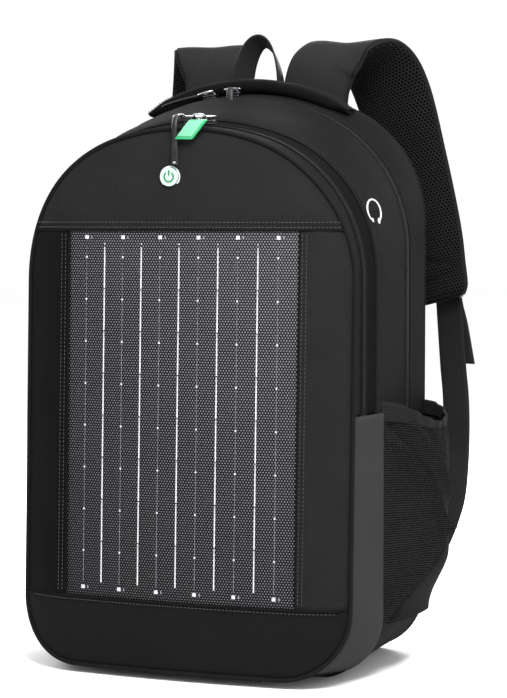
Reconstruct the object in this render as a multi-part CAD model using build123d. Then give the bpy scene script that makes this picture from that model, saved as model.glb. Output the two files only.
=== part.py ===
"""Solar backpack: a zipped fabric day pack with a semi-flexible solar module sewn into its front.

Millimetres. +Z is up and -Y is the front, where the solar module is. The origin is the centre of the
flat face that the pack stands on. Fabric walls are thin closed solids cut from one tube, whose section
is an arch that grows from the front pocket to the back panel.
"""

from build123d import *
from collections import namedtuple
import math
import os

os.makedirs("parts", exist_ok=True)

# ---------------------------------------------------------------- driving sizes
BODY_HEIGHT = 476.0
BODY_HALF_WIDTH = 150.0
CORNER_R = 52.0
WALL_T = 1.8

# An arch section: half width, top height, radii of the top arc and of each shoulder arc, foot height.
Arch = namedtuple("Arch", "half_width top r_top r_shoulder foot", defaults=[0.0])
ARCH_EDGE = Arch(139.0, 438.0, 195.0, 115.0, 9.0)
ARCH_FRONT_ZIP = Arch(143.0, 443.0, 199.0, 118.0)
ARCH_MAIN_FRONT = Arch(149.0, 448.0, 203.0, 118.0)
ARCH_MAIN_ZIP = Arch(148.5, 470.0, 185.0, 122.0)
ARCH_BACK = Arch(148.0, BODY_HEIGHT, 255.0, 104.0)
ARCH_PIPING = Arch(142.4, 441.4, 198.4, 118.4, 6.0)

# Where along Y each section stands.
Y_EDGE, Y_FZIP_A, Y_FZIP_B, Y_MAIN_A = -104.0, -61.0, -49.0, -43.0
Y_MZIP_A, Y_MZIP_B, Y_BACK = 34.0, 46.0, 88.0
BACK_PANEL_T = 3.0
BACK_PAD_T = 9.0
SLEEVE_T, SLEEVE_HALF_W, SLEEVE_TOP = 6.0, 138.0, 350.0

# Front face: upright and leaning back, shallow over the solar module and rounder at the sides.
FRONT_R = 890.0
FRONT_SIDE_R = 120.0
FRONT_SIDE_FROM = 97.0
FRONT_APEX_Y = -102.0
FRONT_LEAN = 2.1
PIPING_DEPTH = 3.2
PIPING_INSET = 3.4
SKIN_T = 1.8

# Solar module and the seams round it.
MODULE_W = 199.0
MODULE_Z0 = 63.0
MODULE_Z1 = 359.0
CELL_COLUMNS, CELL_ROWS = 6, 8
CELL_PITCH_X = 33.2
CELL_PITCH_Z = 34.0
CELL_GAP = 1.6
COVER_T, CELL_T = 0.5, 0.4
RIBBON_W = 1.1
PAD_SIZE = 3.0

# Heights of the seams on the sides.
BASE_SEAM_Z = 50.0
ZIP_END_Z = 200.0

# Zips.
COIL_W, COIL_H = 5.0, 1.8
SLIDER_L, SLIDER_W, SLIDER_H = 12.0, 10.0, 4.4
SLIDER_GAP = 0.4
BAIL_R, EYE_CLEARANCE, EYE_WALL = 0.9, 0.35, 0.9
TAG_L, TAG_W, TAG_T, TAG_TILT = 20.0, 13.0, 5.0, 30.0
FRONT_SLIDERS = {"left": -0.8, "right": 3.0}
MAIN_SLIDERS = {"left": -8.0, "right": -1.5}

# Power button.
BUTTON_X, BUTTON_Z = -8.0, 402.0
BUTTON_R, BUTTON_T = 7.4, 2.6
BUTTON_TRAVEL = 1.0
BEZEL_R, BEZEL_T = 8.7, 1.0
BUTTON_NECK_R, BUTTON_HOLE_R = 6.2, 6.6

# Earphone port.
PORT_Y = -28.0
PORT_Z = 374.0
PORT_R, PORT_T = 13.0, 1.6
PORT_NECK_R = 8.0
PORT_SLIT = 10.0

# Side pockets.
POCKET_Z0, POCKET_FULL_Z, POCKET_Z1 = 42.0, 105.0, 204.0
POCKET_FOOT = 0.35
POCKET_T = 1.5
BINDING_H = 12.0
POCKET_LINE = [(150.0, -33.0), (170.0, 4.0), (180.0, 42.0), (174.0, 71.0), (150.0, 84.0)]

# Carry handle, hang loop and shoulder straps.
HANDLE_Y, HANDLE_W, HANDLE_T = 64.0, 22.0, 7.0
HANDLE_HALF_SPAN, HANDLE_TOP, HANDLE_RISE = 84.0, 487.5, 20.5
LOOP_X, LOOP_Y, LOOP_FOOT_Z = 2.5, 86.0, BODY_HEIGHT + 1.0
LOOP_HALF_SPAN, LOOP_RISE, LOOP_W, LOOP_TURN = 18.5, 45.0, 19.0, 62.0
STRAP_T = 12.0
KNUCKLE_R = STRAP_T / 2
KNUCKLE_GAP = 0.5
KNUCKLE_RELIEF = 2.4
STRAP_ROOT_X = 45.0
LEFT_FLARE = 0.6
WEBBING_W, WEBBING_T = 25.0, 1.6
LOCK_W, LOCK_L, LOCK_T = 38.0, 26.0, 4.0
# Centre line and width of the right strap, from the yoke over the shoulder to the ladder lock.
STRAP_UPPER = [
    ((45.0, 103.0, 448.0), 54.0),
    ((46.0, 104.0, 478.0), 55.0),
    ((54.0, 111.0, 501.0), 60.0),
    ((67.0, 126.0, 513.0), 66.0),
]
STRAP_LOWER = [
    ((67.0, 126.0, 513.0), 66.0),
    ((86.0, 146.0, 505.0), 66.0),
    ((98.0, 157.0, 478.0), 66.0),
    ((112.0, 165.0, 420.0), 64.0),
    ((127.0, 167.0, 360.0), 60.0),
    ((139.0, 165.0, 308.0), 48.0),
]
STRAP_TWIST = 12.0
WEBBING_LINE = [
    (145.0, 173.0, 293.0),
    (149.0, 174.0, 242.0),
    (153.0, 171.0, 207.0),
    (155.0, 165.0, 164.0),
    (157.0, 148.0, 129.0),
    (156.0, 130.0, 108.0),
    (152.0, 111.0, 88.0),
    (145.0, 98.0, 74.0),
]
TAIL_LINE = [(143.0, 177.6, 308.0), (149.0, 182.0, 275.0), (155.0, 184.0, 240.0)]

SIDES = {"left": -1, "right": 1}
FAR = 700.0


# ---------------------------------------------------------------- helpers
def save(node, shape):
    """Writes one sub-part, whose file name is its node name."""
    shape.label = node
    export_step(shape, f"parts/{node}.step")


def solids(shape):
    """All the solids of a shape as one compound."""
    return Compound(children=list(shape.solids()))


def arch_wire(arch, y, inset=0.0):
    """The arch section at y, moved inwards by inset."""
    a, top, foot = arch.half_width - inset, arch.top - inset, arch.foot + inset
    r1, r2, rc = arch.r_top - inset, arch.r_shoulder - inset, CORNER_R - inset
    centre_z = top - r1
    rise = math.sqrt((r1 - r2) ** 2 - (a - r2) ** 2)
    spring_z = centre_z + rise
    turn = math.atan2(a - r2, rise)

    def at(x, z):
        return (x, y, z)

    def on(cx, cz, r, angle):
        return at(cx + r * math.sin(angle), cz + r * math.cos(angle))

    joint = on(0, centre_z, r1, turn)
    half = [
        ThreePointArc(
            at(a - rc, foot), on(a - rc, foot + rc, rc, math.radians(135)), at(a, foot + rc)
        ),
        Line(at(a, foot + rc), at(a, spring_z)),
        ThreePointArc(
            at(a, spring_z), on(a - r2, spring_z, r2, (turn + math.pi / 2) / 2), joint
        ),
    ]
    top_arc = ThreePointArc(joint, at(0, top), at(-joint[0], joint[2]))
    bottom = Line(at(-(a - rc), foot), at(a - rc, foot))
    mirrored = [edge.mirror(Plane.YZ) for edge in half]
    return Wire([bottom, *half, top_arc, *mirrored])


def arch_solid(arch_a, y_a, arch_b, y_b, inset=0.0):
    """The solid between two arch sections."""
    return Solid.make_loft([arch_wire(arch_a, y_a, inset), arch_wire(arch_b, y_b, inset)], True)


def arch_tube(arch_a, y_a, arch_b, y_b, thickness=WALL_T, outset=0.0):
    """The wall round the pack between two sections."""
    outer = arch_solid(arch_a, y_a, arch_b, y_b, -outset)
    return outer - arch_solid(arch_a, y_a, arch_b, y_b, thickness)


def block(x, y, z):
    """A box between (low, high) pairs."""
    size = [high - low for low, high in (x, y, z)]
    middle = [(high + low) / 2 for low, high in (x, y, z)]
    return Pos(*middle) * Box(*size)


def above(z):
    return block((-FAR, FAR), (-FAR, FAR), (z, FAR))


def between(z_low, z_high):
    return block((-FAR, FAR), (-FAR, FAR), (z_low, z_high))


def behind_front(depth):
    """All that lies further back than the front face moved inwards by depth."""
    turn = math.asin(FRONT_SIDE_FROM / FRONT_R)
    middle_r, side_r = FRONT_R - depth, FRONT_SIDE_R - depth
    side_x = FRONT_SIDE_FROM - FRONT_SIDE_R * math.sin(turn)
    side_y = FRONT_R - (FRONT_R - FRONT_SIDE_R) * math.cos(turn)

    def on_side(angle):
        return (side_x + side_r * math.sin(angle), side_y - side_r * math.cos(angle))

    last = math.radians(75)
    joint, middle, end = on_side(turn), on_side((turn + last) / 2), on_side(last)
    front = ThreePointArc((-joint[0], joint[1]), (0, FRONT_R - middle_r), joint)
    right = ThreePointArc(joint, middle, end)
    back = Polyline(end, (end[0], FAR), (-end[0], FAR), (-end[0], end[1]))
    outline = make_face([front, right, back, right.mirror(Plane.YZ)])
    solid = Pos(0, 0, -FAR) * extrude(outline, 2 * FAR)
    return Pos(0, FRONT_APEX_Y, 0) * Rot(X=-FRONT_LEAN) * solid


def front_layer(depth_a, depth_b):
    """The curved sheet between two depths behind the front face."""
    front_half = block((-FAR, FAR), (-FAR, Y_MAIN_A), (-FAR, FAR))
    return (behind_front(depth_a) - behind_front(depth_b)) & front_half


def front_y(x, z, depth=0.0):
    """Where the middle of the front face is at (x, z)."""
    lean = math.radians(FRONT_LEAN)
    sag = FRONT_R - math.sqrt(FRONT_R**2 - x**2)
    return FRONT_APEX_Y + z * math.tan(lean) + (sag + depth) / math.cos(lean)


def arc_centre_z(arch):
    return arch.top - arch.r_top


def turned(shape, arch, angle):
    """A shape made at the top of an arch, carried along the top arc by angle degrees towards +X."""
    centre = (0, 0, arc_centre_z(arch))
    return Pos(*centre) * Rot(Y=angle) * Pos(0, 0, -centre[2]) * shape


def ribbon(stations, thickness):
    """A flat band through (centre, width direction, tangent, width) stations, as straight spans."""
    wires = []
    for centre, across, along, width in stations:
        plane = Plane(origin=centre, x_dir=across, z_dir=along)
        wires.append((plane * Rectangle(width, thickness)).wire())
    return Solid.make_loft(wires, True)


def band_stations(points, widths, across):
    """Stations for ribbon(): the tangent at each point is that of its two neighbours."""
    stations = []
    for i, point in enumerate(points):
        before, after = points[max(i - 1, 0)], points[min(i + 1, len(points) - 1)]
        along = (Vector(*after) - Vector(*before)).normalized()
        side = across[i] - along * across[i].dot(along)
        stations.append((point, side.normalized(), along, widths[i]))
    return stations


# ---------------------------------------------------------------- body shell
def shell():
    """The fabric walls, front to back, keyed by node name."""
    front = arch_tube(ARCH_EDGE, Y_EDGE, ARCH_FRONT_ZIP, Y_FZIP_A) & behind_front(PIPING_DEPTH)
    bands = {
        "front": front,
        "front_zip": arch_tube(ARCH_FRONT_ZIP, Y_FZIP_A, ARCH_FRONT_ZIP, Y_FZIP_B),
        "inner": arch_tube(ARCH_FRONT_ZIP, Y_FZIP_B, ARCH_MAIN_FRONT, Y_MAIN_A),
        "main": arch_tube(ARCH_MAIN_FRONT, Y_MAIN_A, ARCH_MAIN_ZIP, Y_MZIP_A),
        "main_zip": arch_tube(ARCH_MAIN_ZIP, Y_MZIP_A, ARCH_MAIN_ZIP, Y_MZIP_B),
        "rear": arch_tube(ARCH_MAIN_ZIP, Y_MZIP_B, ARCH_BACK, Y_BACK),
    }
    base = None
    for band in bands.values():
        part = band & between(-1, BASE_SEAM_Z)
        base = part if base is None else base + part
    side_strips = None
    for name in ("front", "front_zip", "inner"):
        part = bands[name] & between(BASE_SEAM_Z, ZIP_END_Z)
        side_strips = part if side_strips is None else side_strips + part
    over_zip, over_base = above(ZIP_END_Z), above(BASE_SEAM_Z)
    return {
        "base_panel": base,
        "side_strips": side_strips,
        "front_gusset_outer": bands["front"] & over_zip,
        "front_zip_tape": bands["front_zip"] & over_zip,
        "front_gusset_inner": bands["inner"] & over_zip,
        "main_gusset": (bands["main"] & over_base) - port_tool(PORT_NECK_R + 0.3),
        "main_zip_tape": bands["main_zip"] & over_base,
        "rear_gusset": bands["rear"] & over_base,
    }


def zip_coil(arch, y_a, y_b, z_end):
    """The raised coil in the middle of a zip tape."""
    middle = (y_a + y_b) / 2
    y_low, y_high = middle - COIL_W / 2, middle + COIL_W / 2
    return arch_tube(arch, y_low, arch, y_high, 0.0, COIL_H) & above(z_end)


def inner_walls():
    """The walls that part the compartments, and the padded laptop sleeve."""
    front_wall = arch_solid(ARCH_MAIN_FRONT, Y_MAIN_A, ARCH_MAIN_FRONT, Y_MAIN_A + 1.5, WALL_T + 0.4)
    back = arch_solid(ARCH_BACK, Y_BACK, ARCH_BACK, Y_BACK + BACK_PANEL_T)
    y_sleeve = Y_MZIP_B + 4
    sleeve = arch_solid(ARCH_MAIN_ZIP, y_sleeve, ARCH_MAIN_ZIP, y_sleeve + SLEEVE_T, WALL_T + 0.5)
    sleeve = sleeve & block((-SLEEVE_HALF_W, SLEEVE_HALF_W), (-FAR, FAR), (0, SLEEVE_TOP))
    return {"pocket_divider": front_wall, "back_panel": back, "laptop_sleeve": sleeve}


def back_pads():
    """Two tall spine pads and a lumbar pad on the back panel, with air channels between."""
    y = (Y_BACK + BACK_PANEL_T, Y_BACK + BACK_PANEL_T + BACK_PAD_T)
    pads = {
        "back_pad_left": block((-128, -14), y, (150, 400)),
        "back_pad_right": block((14, 128), y, (150, 400)),
        "back_pad_lumbar": block((-128, 128), y, (45, 138)),
    }
    return {name: fillet(pad.edges().filter_by(Axis.Y), 18) for name, pad in pads.items()}


# ---------------------------------------------------------------- front face
def front_panels():
    """The fabric round the solar module, and the piping round the whole face."""
    face = arch_solid(ARCH_PIPING, Y_EDGE - 10, ARCH_PIPING, Y_MAIN_A, PIPING_INSET)
    skin = face & front_layer(0, SKIN_T)
    half_w = MODULE_W / 2
    ring = arch_tube(ARCH_PIPING, Y_EDGE - 10, ARCH_PIPING, Y_MAIN_A, PIPING_INSET)
    hole = Pos(BUTTON_X, front_y(BUTTON_X, BUTTON_Z), BUTTON_Z) * Rot(X=90) * Cylinder(BUTTON_HOLE_R, 30)
    middle = (MODULE_Z0, MODULE_Z1)
    return {
        "front_top_panel": (skin & above(MODULE_Z1)) - hole,
        "front_bottom_panel": skin & between(-1, MODULE_Z0),
        "front_left_panel": skin & block((-FAR, -half_w), (-FAR, FAR), middle),
        "front_right_panel": skin & block((half_w, FAR), (-FAR, FAR), middle),
        "front_piping": ring & front_layer(-0.8, PIPING_DEPTH),
    }


def solar_module():
    """The laminate: a cover film, the cells, the ribbons that join them, and a backsheet."""
    half_w = MODULE_W / 2
    frame = block((-half_w, half_w), (-FAR, FAR), (MODULE_Z0, MODULE_Z1))
    cell_sheet = front_layer(COVER_T, COVER_T + CELL_T)
    middle_z = (MODULE_Z0 + MODULE_Z1) / 2
    cells, ribbons = [], []
    y = (-FAR, FAR)

    def patch(x, z, width, height):
        return cell_sheet & block((x - width / 2, x + width / 2), y, (z - height / 2, z + height / 2))

    cell_h = CELL_PITCH_Z - CELL_GAP / 2
    for row in range(CELL_ROWS):
        z = middle_z + (row - (CELL_ROWS - 1) / 2) * CELL_PITCH_Z
        for column in range(CELL_COLUMNS):
            x = (column - (CELL_COLUMNS - 1) / 2) * CELL_PITCH_X
            cells.append(patch(x, z, CELL_PITCH_X - CELL_GAP, cell_h))
        for line in range(1, CELL_COLUMNS):
            x = (line - CELL_COLUMNS / 2) * CELL_PITCH_X
            ribbons.append(patch(x, z, RIBBON_W, cell_h))
    for column in range(CELL_COLUMNS):
        x = (column - (CELL_COLUMNS - 1) / 2) * CELL_PITCH_X
        for z in (MODULE_Z0 + 5, MODULE_Z1 - 5):
            ribbons.append(patch(x, z, PAD_SIZE, PAD_SIZE))
    return {
        "solar_cover_film": front_layer(0, COVER_T) & frame,
        "solar_cells": Compound(children=[s for c in cells for s in c.solids()]),
        "solar_ribbons": Compound(children=[s for r in ribbons for s in r.solids()]),
        "solar_backsheet": front_layer(COVER_T + CELL_T, SKIN_T) & frame,
    }


def electronics():
    """What the module feeds: its junction box, a lead, and a regulator with a USB socket."""
    box_y = front_y(0, 330) + SKIN_T + 1.2
    junction = block((-22, 22), (box_y, box_y + 9), (318, 344))
    junction = fillet(junction.edges().filter_by(Axis.Y), 3)
    reg_y = box_y + 3
    regulator = block((60, 94), (reg_y, reg_y + 14), (225, 285))
    regulator = fillet(regulator.edges().filter_by(Axis.Y), 4)
    socket = block((70.8, 83.2), (reg_y + 4.5, reg_y + 9.5), (225 - 1, 225 + 14))
    lead_y = box_y + 6
    start, end = (22, lead_y, 331), (77, lead_y, 285)
    path = FilletPolyline(start, (50, lead_y, 331), (77, lead_y, 318), end, radius=[12, 12])
    lead = sweep(Plane(origin=start, z_dir=(1, 0, 0)) * Circle(1.8), path=path)
    return {"junction_box": junction, "usb_regulator": regulator - socket, "panel_lead": lead}


def power_button():
    """A lit push button in a bezel, with its switch body inside the pocket."""
    y = front_y(BUTTON_X, BUTTON_Z)
    spot = Pos(BUTTON_X, 0, BUTTON_Z)

    def disc(radius, y_a, y_b):
        return spot * Pos(0, (y_a + y_b) / 2, 0) * Rot(X=90) * Cylinder(radius, y_b - y_a)

    face = y - 0.6
    bezel = disc(BEZEL_R, face - BEZEL_T, face) - disc(BUTTON_R + 0.25, face - 9, face - 0.35)
    bezel = bezel + disc(BUTTON_NECK_R, face, y + 6) - disc(4.6, face - 9, face + 20)
    cap = disc(BUTTON_R, face - 0.4 - BUTTON_TRAVEL - BUTTON_T + 0.6, face - 0.4 - BUTTON_TRAVEL)
    cap = cap + disc(4.2, face - 0.4 - BUTTON_TRAVEL, y + 7)
    body = disc(9.5, y + 6.2, y + 14) - disc(4.7, y, y + 7 + 1.6)
    return {"power_button": cap, "button_bezel": bezel, "button_switch": body}


# ---------------------------------------------------------------- earphone port
def port_plane():
    """The plane on the right of the main gusset where the port sits, its normal pointing out."""
    share = (PORT_Y - Y_MAIN_A) / (Y_MZIP_A - Y_MAIN_A)
    arch = Arch(*[a + (b - a) * share for a, b in zip(ARCH_MAIN_FRONT, ARCH_MAIN_ZIP)])
    centre_x = arch.half_width - arch.r_shoulder
    rise = math.sqrt((arch.r_top - arch.r_shoulder) ** 2 - centre_x**2)
    spring_z = arc_centre_z(arch) + rise
    angle = math.asin((PORT_Z - spring_z) / arch.r_shoulder)
    normal = Vector(math.cos(angle), -0.12, math.sin(angle)).normalized()
    x = centre_x + arch.r_shoulder * math.cos(angle)
    return Plane(origin=(x, PORT_Y, PORT_Z), x_dir=(0, 1, 0), z_dir=normal)


def port_tool(radius):
    return port_plane() * Cylinder(radius, 24)


def earphone_port():
    """A rubber grommet with a slit for a lead, and the retaining lip inside the wall."""
    plane = port_plane()
    flange = plane * Pos(0, 0, 0.5 + PORT_T / 2) * Cylinder(PORT_R, PORT_T)
    neck = plane * Pos(0, 0, (0.5 - 6) / 2) * Cylinder(PORT_NECK_R, 6.5)
    slit = plane * Box(PORT_SLIT, 1.0, 30)
    return {"earphone_port": (flange + neck) - slit}


# ---------------------------------------------------------------- side pockets
def pocket_outline(z, shift, share):
    """The pocket's closed line at one height, moved outwards by shift; share scales its bulge."""
    wall_x = POCKET_LINE[0][0] - 1.5
    middle = [(wall_x + (x + shift - wall_x) * share, y, z) for x, y in POCKET_LINE[1:-1]]
    start = (wall_x, POCKET_LINE[0][1] - shift, z)
    end = (wall_x, POCKET_LINE[-1][1] + shift, z)
    return Wire([Spline(start, *middle, end), Line(end, start)])


def pocket_solid(side, shift, levels):
    """What lies between the side wall and the pocket's line, through (height, bulge) levels."""
    solid = Solid.make_loft([pocket_outline(z, shift, share) for z, share in levels], True)
    return solid if side > 0 else solid.mirror(Plane.YZ)


def side_pocket(side):
    """A mesh pocket with an elastic binding round its mouth, both outside the side wall."""
    low, full, high = POCKET_Z0, POCKET_FULL_Z, POCKET_Z1
    top = high + BINDING_H
    wall = block((-BODY_HALF_WIDTH - 0.1, BODY_HALF_WIDTH + 0.1), (-FAR, FAR), (-FAR, FAR))
    outer = pocket_solid(side, 0, [(low, POCKET_FOOT), (full, 1), (high, 1)])
    inner = pocket_solid(side, -POCKET_T, [(low + 2, POCKET_FOOT), (full, 1), (high + 1, 1)])
    rim = pocket_solid(side, 0.4, [(high, 1), (top, 1)])
    rim = rim - pocket_solid(side, -POCKET_T - 0.4, [(high - 1, 1), (top + 1, 1)])
    return outer - inner - wall, rim - wall


# ---------------------------------------------------------------- zip sliders and pulls
def bail_height(arch):
    """The height of the bail's bar over the top of an arch."""
    return arch.top + SLIDER_H + SLIDER_GAP + 2.3


def slider(arch, y, bar_along_x):
    """A slider at the top of an arch, straddling the coil, with the bail that holds its pull."""
    low = arch.top + SLIDER_GAP
    body = Pos(0, y, low + SLIDER_H / 2) * Box(SLIDER_L, SLIDER_W, SLIDER_H)
    body = fillet(body.edges().filter_by(Axis.Z), 2.5)
    channel = Pos(0, y, low + (COIL_H + 0.4) / 2 - 0.2) * Box(
        SLIDER_L + 2, COIL_W + 0.8, COIL_H + 0.6
    )
    height = bail_height(arch)
    bar_turn = Rot(Y=90) if bar_along_x else Rot(X=90)
    bar = Pos(0, y, height) * bar_turn * Cylinder(BAIL_R, 8.0)
    post_step = (3.4, 0) if bar_along_x else (0, 3.4)
    bail = bar
    for sign in (-1, 1):
        x, dy = sign * post_step[0], sign * post_step[1]
        post_h = height - low - SLIDER_H + BAIL_R
        bail = bail + Pos(x, y + dy, low + SLIDER_H + post_h / 2) * Box(1.4, 1.4, post_h)
    return (body - channel) + bail


def pull_eye(arch, y, bar_along_x):
    """The eye of a pull, round the bail's bar."""
    height = bail_height(arch)
    bar_turn = Rot(Y=90) if bar_along_x else Rot(X=90)
    spot = Pos(0, y, height) * bar_turn
    bore_r = BAIL_R + EYE_CLEARANCE
    return spot * Cylinder(bore_r + EYE_WALL, 3.2), spot * Cylinder(bore_r, 9.0)


def cord_pull(arch, y, forward, drop, tip_w=6.0):
    """A pull whose arm runs forward from the bail and then hangs down as a flat moulded tab."""
    eye, bore = pull_eye(arch, y, True)
    height = bail_height(arch)
    arm_w, arm_t = 3.0, 2.0
    y_tab = y - forward
    arm = block((-arm_w / 2, arm_w / 2), (y_tab - 1.5, y - 1.6), (height - arm_t / 2, height + arm_t / 2))
    tab = block((-tip_w / 2, tip_w / 2), (y_tab - 1.5, y_tab + 1.5), (height - drop, height + 1))
    tab = fillet(tab.edges().filter_by(Axis.Y), 0.9)
    return (eye + arm + tab) - bore


def tag_pull(arch, y, forward, offset):
    """A leaning moulded tag in front of the slider, on a link with a crank of offset towards +X."""
    eye, bore = pull_eye(arch, y, True)
    height = bail_height(arch)
    y_tag = y - forward
    z = (height - 1, height + 1)
    arm = block((-1.5, 1.5), (y_tag, y - 1.6), z) + block((-1.5, offset - 2), (y_tag, y_tag + 3), z)
    tag = Pos(0, 0, -TAG_L / 2 - 1) * Box(TAG_W, TAG_T, TAG_L)
    tag = fillet(tag.edges().filter_by(Axis.Y), 2.0)
    tag = chamfer(tag.faces().sort_by(Axis.Y)[0].edges(), 0.8)
    tag = Pos(offset, y_tag - TAG_T / 2, height) * Rot(Y=TAG_TILT) * tag
    return (eye + arm) - bore, tag


def lying_pull(arch, y, length):
    """A pull that lies along the zip towards -X from a bar across the zip."""
    eye, bore = pull_eye(arch, y, False)
    height = bail_height(arch)
    pieces = eye
    radius = height - arc_centre_z(arch) + 0.6
    steps = 6
    for i in range(steps):
        a0, a1 = (math.degrees(length * k / steps / radius) for k in (i, i + 1))
        step_l = length / steps + 1.2
        lump = Pos(-step_l / 2, y, height) * Box(step_l, 5.0 if i > 1 else 3.0, 2.4)
        pieces = pieces + turned(lump, arch, -a0)
    return pieces - bore


# ---------------------------------------------------------------- handle, loop and straps
def carry_handle():
    """A padded band sewn down at both ends over the back of the pack's top."""
    r_mid = (HANDLE_HALF_SPAN**2 + HANDLE_RISE**2) / (2 * HANDLE_RISE)
    centre_z = HANDLE_TOP - HANDLE_T / 2 - r_mid
    half_angle = math.asin(HANDLE_HALF_SPAN / r_mid)
    stations = []
    steps = 10
    for i in range(steps + 1):
        angle = -half_angle + 2 * half_angle * i / steps
        centre = (r_mid * math.sin(angle), HANDLE_Y, centre_z + r_mid * math.cos(angle))
        along = Vector(math.cos(angle), 0, -math.sin(angle))
        stations.append((centre, Vector(0, 1, 0), along, HANDLE_W))
    return ribbon(stations, HANDLE_T)


def hang_loop():
    """A loop of webbing that turns through a quarter between its two sewn ends."""
    stations = []
    steps = 12
    for i in range(steps + 1):
        share = i / steps
        angle = math.pi * share
        centre = (
            LOOP_X - LOOP_HALF_SPAN * math.cos(angle),
            LOOP_Y,
            LOOP_FOOT_Z + LOOP_RISE * math.sin(angle),
        )
        along = Vector(LOOP_HALF_SPAN * math.sin(angle), 0, LOOP_RISE * math.cos(angle))
        along = Vector(0, 0, math.cos(angle)) if i in (0, steps) else along.normalized()
        turn = math.radians(LOOP_TURN) * (1 - share)
        across = Vector(0, math.cos(turn), 0) + along.cross(Vector(0, 1, 0)) * math.sin(turn)
        stations.append((centre, across, along, LOOP_W))
    return ribbon(stations, WEBBING_T)


def strap_points(side, line):
    """A strap's centre line on one side; the left strap splays out less than the right one."""
    flare = 1.0 if side > 0 else LEFT_FLARE
    return [
        (side * (STRAP_ROOT_X + (x - STRAP_ROOT_X) * flare), y, z) for (x, y, z), _width in line
    ]


def strap_across(side, count, first=0.0, last=STRAP_TWIST):
    """Width directions that turn the strap's outer edge forwards along its length."""
    turned_by = [math.radians(first + (last - first) * i / (count - 1)) for i in range(count)]
    return [Vector(math.cos(a), -side * math.sin(a), 0) for a in turned_by]


def strap_pivot(side):
    """Where the strap folds over the shoulder, and the direction of that fold."""
    x, y, z = strap_points(side, STRAP_LOWER)[0]
    return Vector(x, y, z)


def shoulder_strap(side):
    """The pad in two spans that meet at the shoulder fold in a round knuckle."""
    spans = []
    for line, first, last in ((STRAP_UPPER, 0.0, 0.0), (STRAP_LOWER, 0.0, STRAP_TWIST)):
        points = strap_points(side, line)
        widths = [width for _point, width in line]
        across = strap_across(side, len(points), first, last)
        spans.append(ribbon(band_stations(points, widths, across), STRAP_T))
    upper, lower = spans
    pivot = strap_pivot(side)
    width = STRAP_LOWER[0][1]
    spot = Pos(*pivot) * Rot(Y=90)
    upper = upper - spot * Cylinder(KNUCKLE_R + KNUCKLE_GAP, width + 40)
    upper = upper - block((-FAR, FAR), (pivot.Y, FAR), (-FAR, FAR))
    upper = upper - block((-FAR, FAR), (pivot.Y - KNUCKLE_RELIEF, FAR), (-FAR, pivot.Z))
    lower = lower - block((-FAR, FAR), (-FAR, pivot.Y), (pivot.Z - 30, FAR))
    lower = lower + spot * Cylinder(KNUCKLE_R, width)
    return upper, lower


def webbing_points(side, line):
    """The lower webbing's line; its top follows the strap, its foot stays at the pack's corner."""
    if side > 0:
        return line
    strap_end = strap_points(side, STRAP_LOWER)[-1][0]
    top, foot = WEBBING_LINE[0], WEBBING_LINE[-1]
    shift = -strap_end - STRAP_LOWER[-1][0][0]
    return [
        (-(x + shift * max(0.0, (z - foot[2]) / (top[2] - foot[2]))), y, z) for x, y, z in line
    ]


def webbing(side, line):
    points = webbing_points(side, line)
    across = strap_across(side, len(points), STRAP_TWIST, 4.0)
    return ribbon(band_stations(points, [WEBBING_W] * len(points), across), WEBBING_T)


def ladder_lock(side):
    """The buckle at the foot of the strap: a frame with two slots."""
    x, y, z = strap_points(side, STRAP_LOWER)[-1]
    across = strap_across(side, 2)[1]
    along = Vector(0, -0.06, -1).normalized()
    out = across.cross(along) * (-1 if across.cross(along).Y < 0 else 1)
    spot = Plane(origin=Vector(x, y, z) + along * -4 + out * 8.6, x_dir=across, z_dir=out)
    frame = Box(LOCK_W, LOCK_L, LOCK_T)
    frame = fillet(frame.edges().filter_by(Axis.Z), 4.0)
    for offset in (-6.0, 6.0):
        frame = frame - Pos(0, offset, 0) * Box(WEBBING_W + 3, 5.0, LOCK_T + 2)
    return spot * frame


def anchor_tab(side):
    """The triangular tab in the lower back corner that the webbing is sewn into."""
    y = (Y_BACK + BACK_PANEL_T + 0.2, Y_BACK + BACK_PANEL_T + 3.2)
    outline = [(128.0, 48.0), (152.0, 52.0), (152.0, 86.0), (138.0, 84.0)]
    if side < 0:
        outline = [(-x, z) for x, z in outline]
    face = make_face(Polyline(*[(x, y[0], z) for x, z in outline], close=True))
    return extrude(face, amount=y[1] - y[0], dir=(0, 1, 0))


def yoke():
    """The panel over the strap roots at the top of the back."""
    y_low = Y_BACK + BACK_PANEL_T
    plate = block((-80, 80), (y_low, y_low + 3.0), (414, 446))
    return fillet(plate.edges().filter_by(Axis.Y), 6)


# ---------------------------------------------------------------- build every node
FRONT_ZIP_Y = (Y_FZIP_A + Y_FZIP_B) / 2
MAIN_ZIP_Y = (Y_MZIP_A + Y_MZIP_B) / 2


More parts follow.
